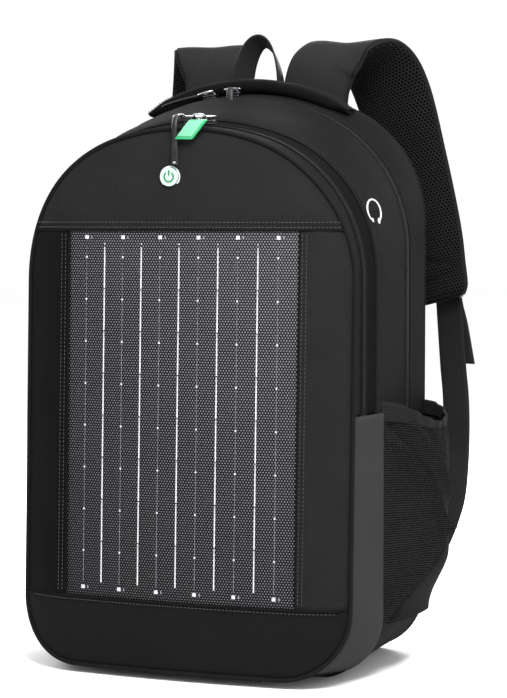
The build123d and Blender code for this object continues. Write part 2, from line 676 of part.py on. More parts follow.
def build():
    nodes = {}
    nodes.update(shell())
    nodes["front_zip_coil"] = zip_coil(ARCH_FRONT_ZIP, Y_FZIP_A, Y_FZIP_B, ZIP_END_Z)
    nodes["main_zip_coil"] = zip_coil(ARCH_MAIN_ZIP, Y_MZIP_A, Y_MZIP_B, BASE_SEAM_Z)
    nodes.update(inner_walls())
    nodes.update(back_pads())
    nodes.update(front_panels())
    nodes.update(solar_module())
    nodes.update(electronics())
    nodes.update(power_button())
    nodes.update(earphone_port())

    front, main = ARCH_FRONT_ZIP, ARCH_MAIN_ZIP
    nodes["front_slider_left"] = turned(slider(front, FRONT_ZIP_Y, True), front, FRONT_SLIDERS["left"])
    nodes["front_slider_right"] = turned(
        slider(front, FRONT_ZIP_Y, True), front, FRONT_SLIDERS["right"]
    )
    nodes["main_slider_left"] = turned(slider(main, MAIN_ZIP_Y, False), main, MAIN_SLIDERS["left"])
    nodes["main_slider_right"] = turned(slider(main, MAIN_ZIP_Y, True), main, MAIN_SLIDERS["right"])
    nodes["front_pull_left"] = turned(
        cord_pull(front, FRONT_ZIP_Y, 37.0, 38.0, 5.0), front, FRONT_SLIDERS["left"]
    )
    link, tag = tag_pull(front, FRONT_ZIP_Y, 34.5, 8.0)
    nodes["tag_link"] = turned(link, front, FRONT_SLIDERS["right"])
    nodes["green_tag"] = turned(tag, front, FRONT_SLIDERS["right"])
    nodes["main_pull_left"] = turned(lying_pull(main, MAIN_ZIP_Y, 42.0), main, MAIN_SLIDERS["left"])
    nodes["main_pull_right"] = turned(
        cord_pull(main, MAIN_ZIP_Y, 20.0, 10.0), main, MAIN_SLIDERS["right"]
    )

    nodes["carry_handle"] = carry_handle()
    nodes["hang_loop"] = hang_loop()
    nodes["strap_yoke"] = yoke()
    for name, side in SIDES.items():
        mesh, rim = side_pocket(side)
        nodes[f"side_pocket_{name}"] = mesh
        nodes[f"pocket_binding_{name}"] = rim
        upper, lower = shoulder_strap(side)
        nodes[f"strap_upper_{name}"] = upper
        nodes[f"strap_lower_{name}"] = lower
        nodes[f"ladder_lock_{name}"] = ladder_lock(side)
        nodes[f"webbing_{name}"] = webbing(side, WEBBING_LINE)
        nodes[f"webbing_tail_{name}"] = webbing(side, TAIL_LINE)
    nodes["anchor_tabs"] = Compound(children=[anchor_tab(side) for side in SIDES.values()])
    return nodes


if __name__ == "__main__":
    made = build()
    for node, shape in made.items():
        save(node, solids(shape))
    print(len(made), "nodes")
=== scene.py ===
import math
from collections import namedtuple

import bpy
import numpy as np
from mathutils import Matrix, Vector


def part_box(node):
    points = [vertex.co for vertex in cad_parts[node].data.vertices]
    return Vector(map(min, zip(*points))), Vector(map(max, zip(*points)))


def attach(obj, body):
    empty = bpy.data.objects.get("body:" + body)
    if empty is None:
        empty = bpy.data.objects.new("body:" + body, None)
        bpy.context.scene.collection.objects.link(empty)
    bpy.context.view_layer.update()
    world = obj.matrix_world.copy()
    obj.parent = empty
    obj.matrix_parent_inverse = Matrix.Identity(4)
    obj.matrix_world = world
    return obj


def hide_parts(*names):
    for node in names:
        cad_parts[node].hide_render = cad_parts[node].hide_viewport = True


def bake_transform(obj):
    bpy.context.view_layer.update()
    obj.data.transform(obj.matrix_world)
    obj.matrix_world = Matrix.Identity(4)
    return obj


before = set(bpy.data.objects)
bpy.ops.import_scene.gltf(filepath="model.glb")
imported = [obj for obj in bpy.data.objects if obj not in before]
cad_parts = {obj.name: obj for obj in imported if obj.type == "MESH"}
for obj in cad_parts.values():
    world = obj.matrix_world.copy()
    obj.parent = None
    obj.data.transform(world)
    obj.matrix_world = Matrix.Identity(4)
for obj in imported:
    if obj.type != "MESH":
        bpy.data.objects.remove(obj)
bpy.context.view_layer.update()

RNG = np.random.default_rng(7)

# ------------------------------------- sizes of the skin, on the frame's or a little outside them
Arch = namedtuple("Arch", "half_width top r_top r_shoulder foot")
CORNER_R = 52.0
EDGE = Arch(141.0, 440.0, 197.0, 117.0, 7.5)
FRONT_ZIP = Arch(143.0, 443.0, 199.0, 118.0, 0.4)
MAIN_FRONT = Arch(149.0, 448.0, 203.0, 118.0, 0.2)
MAIN_ZIP = Arch(148.5, 470.0, 185.0, 122.0, 0.2)
BACK = Arch(148.0, 476.0, 255.0, 104.0, 1.0)
Y_FZIP_A, Y_FZIP_B, Y_MAIN_A, Y_MZIP_A, Y_MZIP_B, Y_BACK = -61.0, -49.0, -43.0, 34.0, 46.0, 90.0
FRONT_R, SIDE_R, SIDE_FROM, APEX_Y, LEAN = 890.0, 120.0, 97.0, -102.0, math.radians(2.1)
MODULE_HALF_W, MODULE_Z0, MODULE_Z1 = 99.5, 63.0, 359.0
COUNTS = (28, 20, 64, 44, 20)
WALL_START = COUNTS[0] + COUNTS[1]
ZIP_END = WALL_START + 38


def smoothstep(t):
    t = np.clip(t, 0.0, 1.0)
    return t * t * (3 - 2 * t)


class Waves:
    """Smooth noise: a sum of sine waves of about one length, in random directions."""

    def __init__(self, length, count=9):
        direction = RNG.normal(size=(count, 3))
        direction /= np.linalg.norm(direction, axis=1)[:, None]
        size = 2 * math.pi / length * RNG.uniform(0.6, 1.5, count)
        self.k = direction * size[:, None]
        self.phase = RNG.uniform(0, 2 * math.pi, count)

    def __call__(self, points):
        return np.sin(points @ self.k.T + self.phase).mean(-1) * 1.8


SOFT, MEDIUM, FINE = Waves(170), Waves(60), Waves(22)


# ---------------------------------------------------------------- meshes
def make_mesh(name, verts, faces, material, uvs=None, smooth=True):
    """A mesh object from millimetre points; uvs holds one (u, v) in centimetres for each vertex."""
    data = bpy.data.meshes.new(name)
    data.from_pydata((np.asarray(verts, float) * 0.001).tolist(), [], [list(f) for f in faces])
    data.materials.append(material)
    if uvs is not None:
        layer = data.uv_layers.new(name="UVMap")
        index = np.zeros(len(data.loops), int)
        data.loops.foreach_get("vertex_index", index)
        layer.data.foreach_set("uv", np.asarray(uvs, float)[index].ravel())
    if smooth:
        data.polygons.foreach_set("use_smooth", [True] * len(data.polygons))
    data.update()
    piece = bpy.data.objects.new(name, data)
    bpy.context.scene.collection.objects.link(piece)
    return piece


def box_mm(node):
    """A CAD node's low and high corners in millimetres."""
    return [np.array(corner) * 1000 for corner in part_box(node)]


def grid_faces(nu, nv, close_u=False, close_v=False, flip=False):
    """Quads over a grid of nu by nv points, joined up where a direction is closed."""
    i = np.arange(nu if close_u else nu - 1)
    j = np.arange(nv if close_v else nv - 1)
    i, j = [a.ravel() for a in np.meshgrid(i, j, indexing="ij")]
    i1, j1 = (i + 1) % nu, (j + 1) % nv
    quads = np.stack([i * nv + j, i1 * nv + j, i1 * nv + j1, i * nv + j1], 1)
    return quads[:, ::-1] if flip else quads


def run_lengths(points, axis):
    """The length run so far, along one axis of a grid of points."""
    step = np.linalg.norm(np.diff(points, axis=axis), axis=-1)
    total = np.cumsum(step, axis=axis)
    start = np.zeros_like(np.take(total, [0], axis=axis))
    return np.concatenate([start, total], axis=axis)


def sheet_piece(name, points, material, thickness=1.6, flip=False, body="pack"):
    """A thin closed sheet over a grid of points; the grid is its outside."""
    points = np.asarray(points, float)
    nu, nv = points.shape[:2]
    u = run_lengths(points, 0).mean(1)[:, None] * np.ones((1, nv))
    v = run_lengths(points, 1).mean(0)[None, :] * np.ones((nu, 1))
    uvs = np.stack([u, v], -1).reshape(-1, 2) / 10
    faces = grid_faces(nu, nv, flip=flip)
    piece = make_mesh(name, points.reshape(-1, 3), faces, material, uvs)
    solid = piece.modifiers.new("thickness", "SOLIDIFY")
    solid.thickness = thickness * 0.001
    solid.offset = -1
    if body:
        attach(piece, body)
    return piece


def frames_along(path):
    """Tangents and a steady pair of side directions along a path."""
    path = np.asarray(path, float)
    tangent = np.gradient(path, axis=0)
    tangent /= np.linalg.norm(tangent, axis=1)[:, None] + 1e-12
    side = np.zeros_like(path)
    guess = np.array([0.0, 0.0, 1.0]) if abs(tangent[0][2]) < 0.9 else np.array([0.0, 1.0, 0.0])
    for n in range(len(path)):
        guess = guess - tangent[n] * (guess @ tangent[n])
        guess /= np.linalg.norm(guess) + 1e-12
        side[n] = guess
    return tangent, side, np.cross(tangent, side)


def tube_data(path, radius, sides=10, closed=False):
    path = np.asarray(path, float)
    _tangent, a, b = frames_along(path)
    angle = np.linspace(0, 2 * math.pi, sides, endpoint=False)
    r = np.broadcast_to(np.asarray(radius, float), (len(path),))[:, None, None]
    ring = np.cos(angle)[None, :, None] * a[:, None] + np.sin(angle)[None, :, None] * b[:, None]
    verts = (path[:, None] + r * ring).reshape(-1, 3)
    faces = grid_faces(len(path), sides, close_u=closed, close_v=True).tolist()
    if not closed:
        last = (len(path) - 1) * sides
        faces += [list(range(sides))[::-1], [last + k for k in range(sides)]]
    return verts, faces


class Lump:
    """Collects small closed pieces into one mesh."""

    def __init__(self):
        self.verts, self.faces, self.count = [], [], 0

    def add(self, verts, faces):
        self.verts.append(np.asarray(verts, float))
        self.faces += [[i + self.count for i in f] for f in faces]
        self.count += len(verts)

    def add_tube(self, path, radius, sides=8, closed=False):
        self.add(*tube_data(path, radius, sides, closed))

    def add_flat_tube(self, path, stretch, sides=14):
        """A tube of 1 mm radius, stretched by x, y and z factors: one row for all or one a point."""
        verts, faces = tube_data(path, 1.0, sides)
        middle = np.repeat(path, sides, axis=0)
        factors = np.repeat(np.broadcast_to(stretch, path.shape), sides, axis=0)
        self.add(middle + (verts - middle) * factors, faces)

    def finish(self, name, material, body="pack"):
        piece = make_mesh(name, np.concatenate(self.verts), self.faces, material)
        if body:
            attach(piece, body)
        return piece


def ball_template(rings=5, sides=8):
    verts, faces = [], []
    for i in range(1, rings):
        t = math.pi * i / rings
        for j in range(sides):
            p = 2 * math.pi * j / sides
            verts.append((math.cos(t), math.sin(t) * math.cos(p), math.sin(t) * math.sin(p)))
    for i in range(rings - 2):
        for j in range(sides):
            k = (j + 1) % sides
            faces.append([i * sides + j, i * sides + k, (i + 1) * sides + k, (i + 1) * sides + j])
    verts += [(1, 0, 0), (-1, 0, 0)]
    first, last = len(verts) - 2, len(verts) - 1
    base = (rings - 2) * sides
    for j in range(sides):
        k = (j + 1) % sides
        faces += [[first, k, j], [last, base + j, base + k]]
    return np.array(verts, float), faces


SMALL_BALL = ball_template(4, 6)
# Half sizes of stitches along, across and above the cloth, and the step from one to the next.
SHORT_STITCH, BODY_STITCH = (1.1, 0.34, 0.3), (1.15, 0.34, 0.3)
STRAP_STITCH, FACE_STITCH = (1.2, 0.36, 0.32), (1.2, 0.38, 0.34)
SHORT_STEP, BODY_STEP, LONG_STEP = 3.0, 3.1, 3.2


def add_grains(lump, path, normals, pitch, size, lift=0.0):
    """Evenly spaced grains along a path: stitches, zip teeth or beads. size is (along, across, high)."""
    path, normals = np.asarray(path, float), np.asarray(normals, float)
    s = run_lengths(path, 0)
    count = max(2, int(s[-1] / pitch))
    at = (np.arange(count) + 0.5) * s[-1] / count
    centre = np.stack([np.interp(at, s, path[:, k]) for k in range(3)], 1)
    normal = np.stack([np.interp(at, s, normals[:, k]) for k in range(3)], 1)
    normal /= np.linalg.norm(normal, axis=1)[:, None]
    along = np.stack([np.interp(at, s, np.gradient(path[:, k], s)) for k in range(3)], 1)
    along -= normal * (along * normal).sum(1)[:, None]
    along /= np.linalg.norm(along, axis=1)[:, None]
    across = np.cross(normal, along)
    verts, faces = SMALL_BALL
    for n in range(count):
        turn = np.stack([along[n] * size[0], across[n] * size[1], normal[n] * size[2]])
        lump.add(verts @ turn + centre[n] + normal[n] * lift, faces)


def smooth_line(points, per_span=10):
    """A Catmull-Rom curve through rows of numbers."""
    p = np.asarray(points, float)
    p = np.concatenate([[2 * p[0] - p[1]], p, [2 * p[-1] - p[-2]]])
    out = []
    for a, b, c, d in zip(p[:-3], p[1:-2], p[2:-1], p[3:]):
        t = np.linspace(0, 1, per_span, endpoint=False)[:, None]
        out.append(
            0.5 * (2 * b + (c - a) * t + (2 * a - 5 * b + 4 * c - d) * t**2
                   + (3 * b - a - 3 * c + d) * t**3)
        )
    return np.concatenate(out + [p[-2:-1]])


# ---------------------------------------------------------------- materials
ROW_SPACING = 0.866  # between the rows of a honeycomb, in pitches


class Nodes:
    """Short names for building a material's nodes."""

    def __init__(self, name):
        self.material = bpy.data.materials.new(name)
        self.material.use_nodes = True
        self.tree = self.material.node_tree
        self.shader = self.tree.nodes["Principled BSDF"]

    def add(self, kind, **values):
        node = self.tree.nodes.new(kind)
        for key, value in values.items():
            setattr(node, key, value)
        return node

    def link(self, a, b):
        self.tree.links.new(a, b)

    def math(self, operation, *values):
        node = self.add("ShaderNodeMath", operation=operation)
        for socket, value in zip(node.inputs, values):
            if isinstance(value, (int, float)):
                socket.default_value = value
            else:
                self.link(value, socket)
        return node.outputs[0]

    def coords(self, uv, scale=1.0):
        tex = self.add("ShaderNodeTexCoord").outputs["UV" if uv else "Object"]
        mapping = self.add("ShaderNodeMapping")
        mapping.inputs["Scale"].default_value = (scale,) * 3
        self.link(tex, mapping.inputs["Vector"])
        return mapping.outputs[0]

    def noise(self, vector, scale, detail=3.0):
        node = self.add("ShaderNodeTexNoise")
        node.inputs["Scale"].default_value = scale
        node.inputs["Detail"].default_value = detail
        self.link(vector, node.inputs["Vector"])
        return node.outputs[0]

    def ramp(self, value, stops):
        node = self.add("ShaderNodeValToRGB")
        elements = node.color_ramp.elements
        for n, (place, colour) in enumerate(stops):
            element = elements[n] if n < 2 else elements.new(place)
            element.position = place
            element.color = (*colour, 1)
        self.link(value, node.inputs[0])
        return node.outputs[0]

    def colour(self, value, stops):
        self.link(self.ramp(value, stops), self.shader.inputs["Base Color"])

    def ripple(self, vector, direction, period):
        """A cosine wave from -1 to 1 along a direction."""
        dot = self.add("ShaderNodeVectorMath", operation="DOT_PRODUCT")
        self.link(vector, dot.inputs[0])
        k = 2 * math.pi / period
        dot.inputs[1].default_value = tuple(k * c for c in direction)
        return self.math("COSINE", dot.outputs["Value"])

    def honeycomb(self, vector, pitch, start):
        """Three crossing waves, from -3 to 3, that peak in rows of round spots; pitch is in centimetres."""
        total = None
        for third in range(3):
            a = start + third * 2 * math.pi / 3
            wave = self.ripple(vector, (math.cos(a), math.sin(a), 0), pitch * ROW_SPACING)
            total = self.math("ADD", total, wave) if third else wave
        return total

    def bump(self, height, strength, distance):
        node = self.add("ShaderNodeBump")
        node.inputs["Strength"].default_value = strength
        node.inputs["Distance"].default_value = distance
        self.link(height, node.inputs["Height"])
        self.link(node.outputs[0], self.shader.inputs["Normal"])

    def set(self, **values):
        for key, value in values.items():
            self.shader.inputs[key.replace("_", " ")].default_value = value
        return self


CLOTH_TINT, MESH_TINT = (1.0, 1.0, 1.04), (1.0, 1.0, 1.03)


def grey(value, tint=MESH_TINT):
    return tuple(value * t for t in tint)


def fabric(name, value, thread=0.9, uv=True, contrast=0.35, strength=0.5):
    """A plain or oxford weave of crossing threads, in two close shades, with faint dye variation."""
    n = Nodes(name)
    vector = n.coords(uv, 1.0 if uv else 100.0)
    directions = ((1, 0, 0), (0, 1, 0)) if uv else ((1, 1, 0), (0, 0, 1))
    warp, weft = [n.ripple(vector, direction, thread / 10) for direction in directions]
    weave = n.math("MULTIPLY", warp, weft)
    place = n.coords(False)
    speckle = n.noise(place, 1100.0, 2.0)
    cloud = n.noise(place, 22.0, 3.0)
    mixed = n.math("ADD", n.math("MULTIPLY", weave, 0.18), n.math("MULTIPLY", speckle, 0.75))
    mixed = n.math("ADD", mixed, n.math("MULTIPLY", cloud, 0.25))
    low, high = [grey(value * shade, CLOTH_TINT) for shade in (1 - contrast, 1 + contrast)]
    n.colour(mixed, [(0.30, low), (0.75, high)])
    rough = n.math("ADD", n.math("MULTIPLY", speckle, 0.2), 0.68)
    n.link(rough, n.shader.inputs["Roughness"])
    n.bump(n.math("ADD", weave, speckle), strength, 0.0004)
    n.set(Sheen_Weight=0.015, Sheen_Roughness=0.4, Specular_IOR_Level=0.02)
    return n.material


def spacer_mesh(name, value, pitch):
    """Knitted spacer mesh: rows of small round holes, painted near black as the shade in them; pitch is in
    millimetres.
    """
    n = Nodes(name)
    total = n.honeycomb(n.coords(True), pitch / 10, 0)
    hole = n.math("MULTIPLY_ADD", total, 0.22, 0.5)
    fuzz = n.noise(n.coords(False), 900.0, 2.0)
    level = n.math("ADD", hole, n.math("MULTIPLY", fuzz, 0.3))
    # Painted shade: the holes take the darkest colour.
    n.colour(level, [(0.2, grey(value * 1.8)), (0.55, grey(value)), (0.8, grey(value * 0.12))])
    n.bump(n.math("MULTIPLY", total, -1.0), 0.7, 0.0007)
    n.set(Roughness=0.9, Specular_IOR_Level=0.03)
    return n.material


def pocket_knit():
    """Open knitted mesh: fine courses crossed by wales, with the gaps between the yarns painted near black
    as the shade seen through them.
    """
    n = Nodes("pocket_knit")
    vector = n.coords(True)
    courses, wales = n.ripple(vector, (0, 1, 0), 0.19), n.ripple(vector, (1, 0.2, 0), 0.13)
    knit = n.math("ADD", n.math("MULTIPLY", courses, 0.30), n.math("MULTIPLY", wales, 0.16))
    level = n.math("ADD", knit, n.math("MULTIPLY", n.noise(n.coords(False), 700.0, 2.0), 0.9))
    # Painted shade: the darkest stop is the shade seen through the gaps.
    n.colour(level, [(0.2, grey(0.0012)), (0.5, grey(0.0055)), (0.9, grey(0.020))])
    n.bump(knit, 0.8, 0.0006)
    n.set(Roughness=0.85, Specular_IOR_Level=0.03)
    return n.material


def webbing_cloth(name, value, rib=1.3):
    """Woven webbing with ribs along its length and a fine chevron across."""
    n = Nodes(name)
    vector = n.coords(True)
    rows = n.ripple(vector, (1, 0.5, 0), rib / 10)
    ribs = n.ripple(vector, (0, 1, 0), rib / 7)
    level = n.math("ADD", n.math("MULTIPLY", rows, 0.25), n.math("MULTIPLY", ribs, 0.2))
    level = n.math("ADD", level, 0.5)
    n.colour(level, [(0.1, grey(value * 0.55)), (0.9, grey(value * 1.4))])
    n.bump(level, 0.7, 0.0006)
    n.set(Roughness=0.7, Specular_IOR_Level=0.06)
    return n.material


def plastic(name, colour, roughness=0.4, grain=0.15, metallic=0.0, scale=700.0, variation=0.2, specular=0.5):
    """Moulded plastic, rubber or plated metal with a fine grain and uneven gloss."""
    n = Nodes(name)
    place = n.coords(False)
    fine = n.noise(place, scale, 3.0)
    broad = n.noise(place, 60.0, 2.0)
    low = tuple(c * (1 - variation) for c in colour)
    high = tuple(min(1.0, c * (1 + variation)) for c in colour)
    n.colour(broad, [(0.3, low), (0.7, high)])
    rough = n.math("ADD", n.math("MULTIPLY", broad, 0.2), roughness - 0.1)
    n.link(rough, n.shader.inputs["Roughness"])
    n.bump(fine, grain, 0.0003)
    n.set(Metallic=metallic, Specular_IOR_Level=specular)
    return n.material


def module_film():
    """Dark cells under a clear film with a close pattern of round dimples; the dimple tops are painted pale
    as glints, and a painted highlight makes the film paler to the upper right.
    """
    n = Nodes("module_film")
    total = n.honeycomb(n.coords(True), 0.235, math.pi / 6)
    dome = n.math("MULTIPLY_ADD", total, 0.222, 0.5)
    uneven = n.math("MULTIPLY", n.noise(n.coords(False), 14.0, 2.0), 0.08)
    # Painted highlight: the colour grows paler with x and z, towards the upper right, standing for the key
    # lamp's reflection on the film.
    split = n.add("ShaderNodeSeparateXYZ")
    n.link(n.coords(False), split.inputs[0])
    slope = n.math("ADD", split.outputs["X"], n.math("MULTIPLY", split.outputs["Z"], 0.9))
    level = n.math("ADD", n.math("ADD", dome, uneven), n.math("SUBTRACT", slope, 0.20))
    # The palest stop paints the dimple tops as glints.
    stops = [(0.34, (0.001, 0.001, 0.0015)), (0.68, (0.005, 0.005, 0.007)), (0.98, (0.13, 0.13, 0.14))]
    n.colour(level, stops)
    n.bump(dome, 0.9, 0.0009)
    n.set(Roughness=0.36, Specular_IOR_Level=0.11)
    return n.material


def tinted_plastic(name, colour, roughness):
    """Coloured plastic that lets a little light through."""
    n = Nodes(name)
    place = n.coords(False)
    broad = n.noise(place, 90.0, 2.0)
    n.colour(broad, [(0.3, tuple(c * 0.9 for c in colour)), (0.7, colour)])
    n.bump(n.noise(place, 500.0), 0.05, 0.0002)
    n.set(Roughness=roughness, Subsurface_Weight=0.25, Subsurface_Radius=(0.004, 0.004, 0.004))
    return n.material


MAT = {
    "shell": fabric("shell_cloth", 0.0045),
    "panel": fabric("panel_cloth", 0.0112),
    # Painted shade: the left and bottom front panels are darker copies of the panel cloth, for the shade
    # that falls on them.
    "left_panel_painted_shade": fabric("left_panel_cloth", 0.0036),
    "bottom_panel_painted_shade": fabric("low_panel_cloth", 0.0068),
    "strip": fabric("strip_cloth", 0.022, thread=0.8, contrast=0.2, strength=0.3),
    "tape": fabric("zip_tape_cloth", 0.004, thread=0.7),
    "lining": fabric("lining_cloth", 0.05, uv=False),
    "strap": fabric("strap_cloth", 0.012),
    "binding": fabric("binding_cloth", 0.006, thread=0.7, strength=0.7),
    "pocket": pocket_knit(),
    "mesh": spacer_mesh("air_mesh", 0.0068, 3.0),
    # Painted light: the back panel's and pads' air mesh are paler copies of the strap lining's mesh, for the
    # light on the back.
    "back_mesh_painted_light": spacer_mesh("back_air_mesh_painted_light", 0.012, 3.4),
    "pad_mesh_painted_light": spacer_mesh("pad_air_mesh_painted_light", 0.022, 4.2),
    "webbing": webbing_cloth("webbing_cloth", 0.009),
    "elastic": webbing_cloth("elastic_cloth", 0.008, 1.1),
    "film": module_film(),
    "ribbon": plastic("solder_ribbon", (0.42, 0.42, 0.44), 0.4, 0.2, 0.0, 900.0, 0.05),
    "dim_dot": plastic("solder_dot", (0.14, 0.14, 0.15), 0.5, 0.2, 0.0, 900.0, 0.2),
    "coil": plastic("zip_coil_nylon", (0.006, 0.006, 0.007), 0.5, 0.2, specular=0.2),
    "piping": fabric("piping_cloth", 0.005, thread=0.6, strength=0.4),
    "thread": plastic("sewing_thread", (0.016, 0.016, 0.017), 0.7, 0.6, 0.0, 2200.0, specular=0.1),
    "bright_thread": plastic("topstitch_thread", (0.035, 0.035, 0.038), 0.7, 0.6, 0.0, 2200.0, specular=0.1),
    "rubber": plastic("pull_rubber", (0.006, 0.006, 0.006), 0.5, 0.4, specular=0.25),
    "port": plastic("port_rubber_black", (0.006, 0.006, 0.006), 0.85, 0.3, specular=0.05),
    "black": plastic("moulded_black", (0.007, 0.007, 0.007), 0.42, 0.3, specular=0.25),
    "metal": plastic("plated_metal", (0.50, 0.50, 0.52), 0.28, 0.1, 1.0),
    "green_face": tinted_plastic("tag_face", (0.13, 0.42, 0.24), 0.3),
    "green": tinted_plastic("tag_green", (0.012, 0.26, 0.09), 0.3),
    "button": tinted_plastic("button_cap", (0.36, 0.50, 0.42), 0.35),
    "icon_green": tinted_plastic("button_symbol", (0.01, 0.13, 0.05), 0.5),
    "dark_metal": plastic("black_plating", (0.05, 0.05, 0.055), 0.35, 0.15, 1.0),
    "white": plastic("white_print", (0.45, 0.46, 0.46), 0.5, 0.2, 0.0, 600.0, 0.05),
}


# ---------------------------------------------------------------- body walls
def arch_loop(arch):
    """Points, outward normals of one section, from the bottom centre by the right to the top and round."""
    a, top, foot = arch.half_width, arch.top, arch.foot
    r1, r2, rc = arch.r_top, arch.r_shoulder, CORNER_R
    centre = top - r1
    rise = math.sqrt((r1 - r2) ** 2 - (a - r2) ** 2)
    spring, turn = centre + rise, math.atan2(a - r2, rise)
    n0, n1, n2, n3, n4 = COUNTS
    x = np.linspace(0, a - rc, n0, endpoint=False)
    runs = [(x, x * 0 + foot, x * 0, x * 0 - 1)]
    t = np.linspace(0, math.pi / 2, n1, endpoint=False)
    runs.append((a - rc + rc * np.sin(t), foot + rc - rc * np.cos(t), np.sin(t), -np.cos(t)))
    z = np.linspace(foot + rc, spring, n2, endpoint=False)
    runs.append((z * 0 + a, z, z * 0 + 1, z * 0))
    t = np.linspace(math.pi / 2, turn, n3, endpoint=False)
    runs.append((a - r2 + r2 * np.sin(t), spring + r2 * np.cos(t), np.sin(t), np.cos(t)))
    t = np.linspace(turn, 0, n4 + 1)
    runs.append((r1 * np.sin(t), centre + r1 * np.cos(t), np.sin(t), np.cos(t)))
    half = np.concatenate([np.stack(r, 1) for r in runs])
    mirrored = half[1:-1][::-1] * np.array([-1, 1, -1, 1])
    return np.concatenate([half, mirrored])


LOOP_N = 2 * sum(COUNTS)


def front_profile(x):
    """How far the front face falls back from its apex at x."""
    x = np.abs(np.asarray(x, float))
    turn = math.asin(SIDE_FROM / FRONT_R)
    side_x = SIDE_FROM - SIDE_R * math.sin(turn)
    side_y = FRONT_R - (FRONT_R - SIDE_R) * math.cos(turn)
    middle = FRONT_R - np.sqrt(FRONT_R**2 - np.minimum(x, SIDE_FROM) ** 2)
    outer = side_y - np.sqrt(np.maximum(SIDE_R**2 - (x - side_x) ** 2, 1.0))
    return np.where(x <= SIDE_FROM, middle, outer)


def front_y(x, z):
    """The front face's y at x and z; the face leans back and is rounder towards its sides."""
    return APEX_Y + np.asarray(z) * math.tan(LEAN) + front_profile(x) / math.cos(LEAN)


def pick(lo, hi):
    """Loop indices from lo round by the top to the mirror of lo, or through the bottom."""
    return np.arange(lo, hi + 1) % LOOP_N


SEAM_REACH, PUCKER_REACH, PUCKER_LENGTH = 7.0, 6.0, 2.3
FLOOR_BAND = 14.0  # the cloth lies flat at the floor and is full at this height


def wall(name, arch_a, y_a, arch_b, y_b, lo, hi, rows, material, puff, pucker, front_edge=False):
    """A strip of the pack's wall between two sections, fuller in its middle and drawn in at its seams."""
    index = pick(lo, hi)
    a, b = arch_loop(arch_a)[index], arch_loop(arch_b)[index]
    v = np.linspace(0, 1, rows)[None, :, None]
    both = a[:, None] * (1 - v) + b[:, None] * v
    if front_edge:
        start = front_y(a[:, 0], a[:, 1])[:, None] + 1.2
    else:
        start = np.full((len(index), 1), float(y_a))
    y = start * (1 - v[..., 0]) + y_b * v[..., 0]
    points = np.stack([both[..., 0], y, both[..., 1]], -1)
    normal = np.stack([both[..., 2], 0 * y, both[..., 3]], -1)
    normal /= np.linalg.norm(normal, axis=-1)[..., None]
    t = v[..., 0]
    width = np.abs(y_b - start)
    near = np.minimum(t, 1 - t) * width
    body = 1 - np.exp(-near / SEAM_REACH)
    lift = puff * body * (0.72 + 0.28 * SOFT(points)) + 0.9 * body * MEDIUM(points)
    along = run_lengths(points[:, :1], 0)
    ripple = np.sin(along / PUCKER_LENGTH + 2.2 * SOFT(points)) * (0.6 + 0.4 * FINE(points))
    ripple = ripple * np.exp(-near / PUCKER_REACH)
    standing = smoothstep((points[..., 2] - 1.0) / FLOOR_BAND)
    lift = (lift + pucker * ripple * np.minimum(1, near / 2.5)) * standing
    return sheet_piece(name, points + normal * lift[..., None], material, flip=True)


def section_path(arch, y, lo, hi, out=0.0, front_edge=False):
    """A seam line round one section, with the wall's normals."""
    rows = arch_loop(arch)[pick(lo, hi)]
    depth = front_y(rows[:, 0], rows[:, 1]) if front_edge else np.full(len(rows), float(y))
    normal = np.stack([rows[:, 2], 0 * depth, rows[:, 3]], 1)
    return np.stack([rows[:, 0], depth, rows[:, 1]], 1) + normal * out, normal


def mix_arch(a, b, share):
    return Arch(*[p + (q - p) * share for p, q in zip(a, b)])


STRIP_EDGE, Y_STRIP = Arch(153.0, 451.0, 203.0, 118.0, 0.2), -33.0
TOP_RANGE = (ZIP_END, LOOP_N - ZIP_END)
WALL_RANGE = (WALL_START, LOOP_N - WALL_START)
BASE_RANGE = (-WALL_START, WALL_START)
WHOLE_RANGE = (0, LOOP_N - 1)

# Name, CAD node, front section and its y, rear section and its y, range, rows, puff, pucker, whether
# it starts on the front face's edge.
GUSSETS = [
    ("front_gusset", "front_gusset_outer", EDGE, 0, FRONT_ZIP, Y_FZIP_A, TOP_RANGE, 8, 0.8, 0.2, True),
    ("inner_gusset", "front_gusset_inner", FRONT_ZIP, Y_FZIP_B, MAIN_FRONT, Y_MAIN_A, TOP_RANGE,
     5, 0.6, 0.2, False),
    ("main_body_wall", "main_gusset", MAIN_FRONT, Y_MAIN_A, MAIN_ZIP, Y_MZIP_A, WALL_RANGE,
     30, 3.2, 0.9, False),
    ("rear_body_wall", "rear_gusset", MAIN_ZIP, Y_MZIP_B, BACK, Y_BACK, WALL_RANGE, 18, 3.6, 0.6, False),
]
BASE_WALLS = [
    ("base_front", "base_panel", EDGE, 0, MAIN_FRONT, Y_MAIN_A, BASE_RANGE, 16, 0.6, 0.2, True),
    ("base_rear", None, MAIN_FRONT, Y_MAIN_A, BACK, Y_BACK, BASE_RANGE, 30, 0.8, 0.2, False),
]


def body_walls(table):
    """The shell's walls that a table lists."""
    for name, node, arch_a, y_a, arch_b, y_b, span, rows, puff, pucker, front_edge in table:
        piece = wall(name, arch_a, y_a, arch_b, y_b, *span, rows, MAT["shell"], puff, pucker, front_edge)
        if node:
            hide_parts(node)


def side_strips():
    """Two paler strips down the sides; the right one stands for both in the frame."""
    foot = COUNTS[0] + 6
    for name, lo, hi in (("right", foot, ZIP_END), ("left", LOOP_N - ZIP_END, LOOP_N - foot)):
        strip = wall(f"side_strip_{name}", EDGE, 0, STRIP_EDGE, Y_STRIP, lo, hi, 18, MAT["strip"],
                     2.6, 0.3, True)
        if name == "right":
            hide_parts("side_strips")


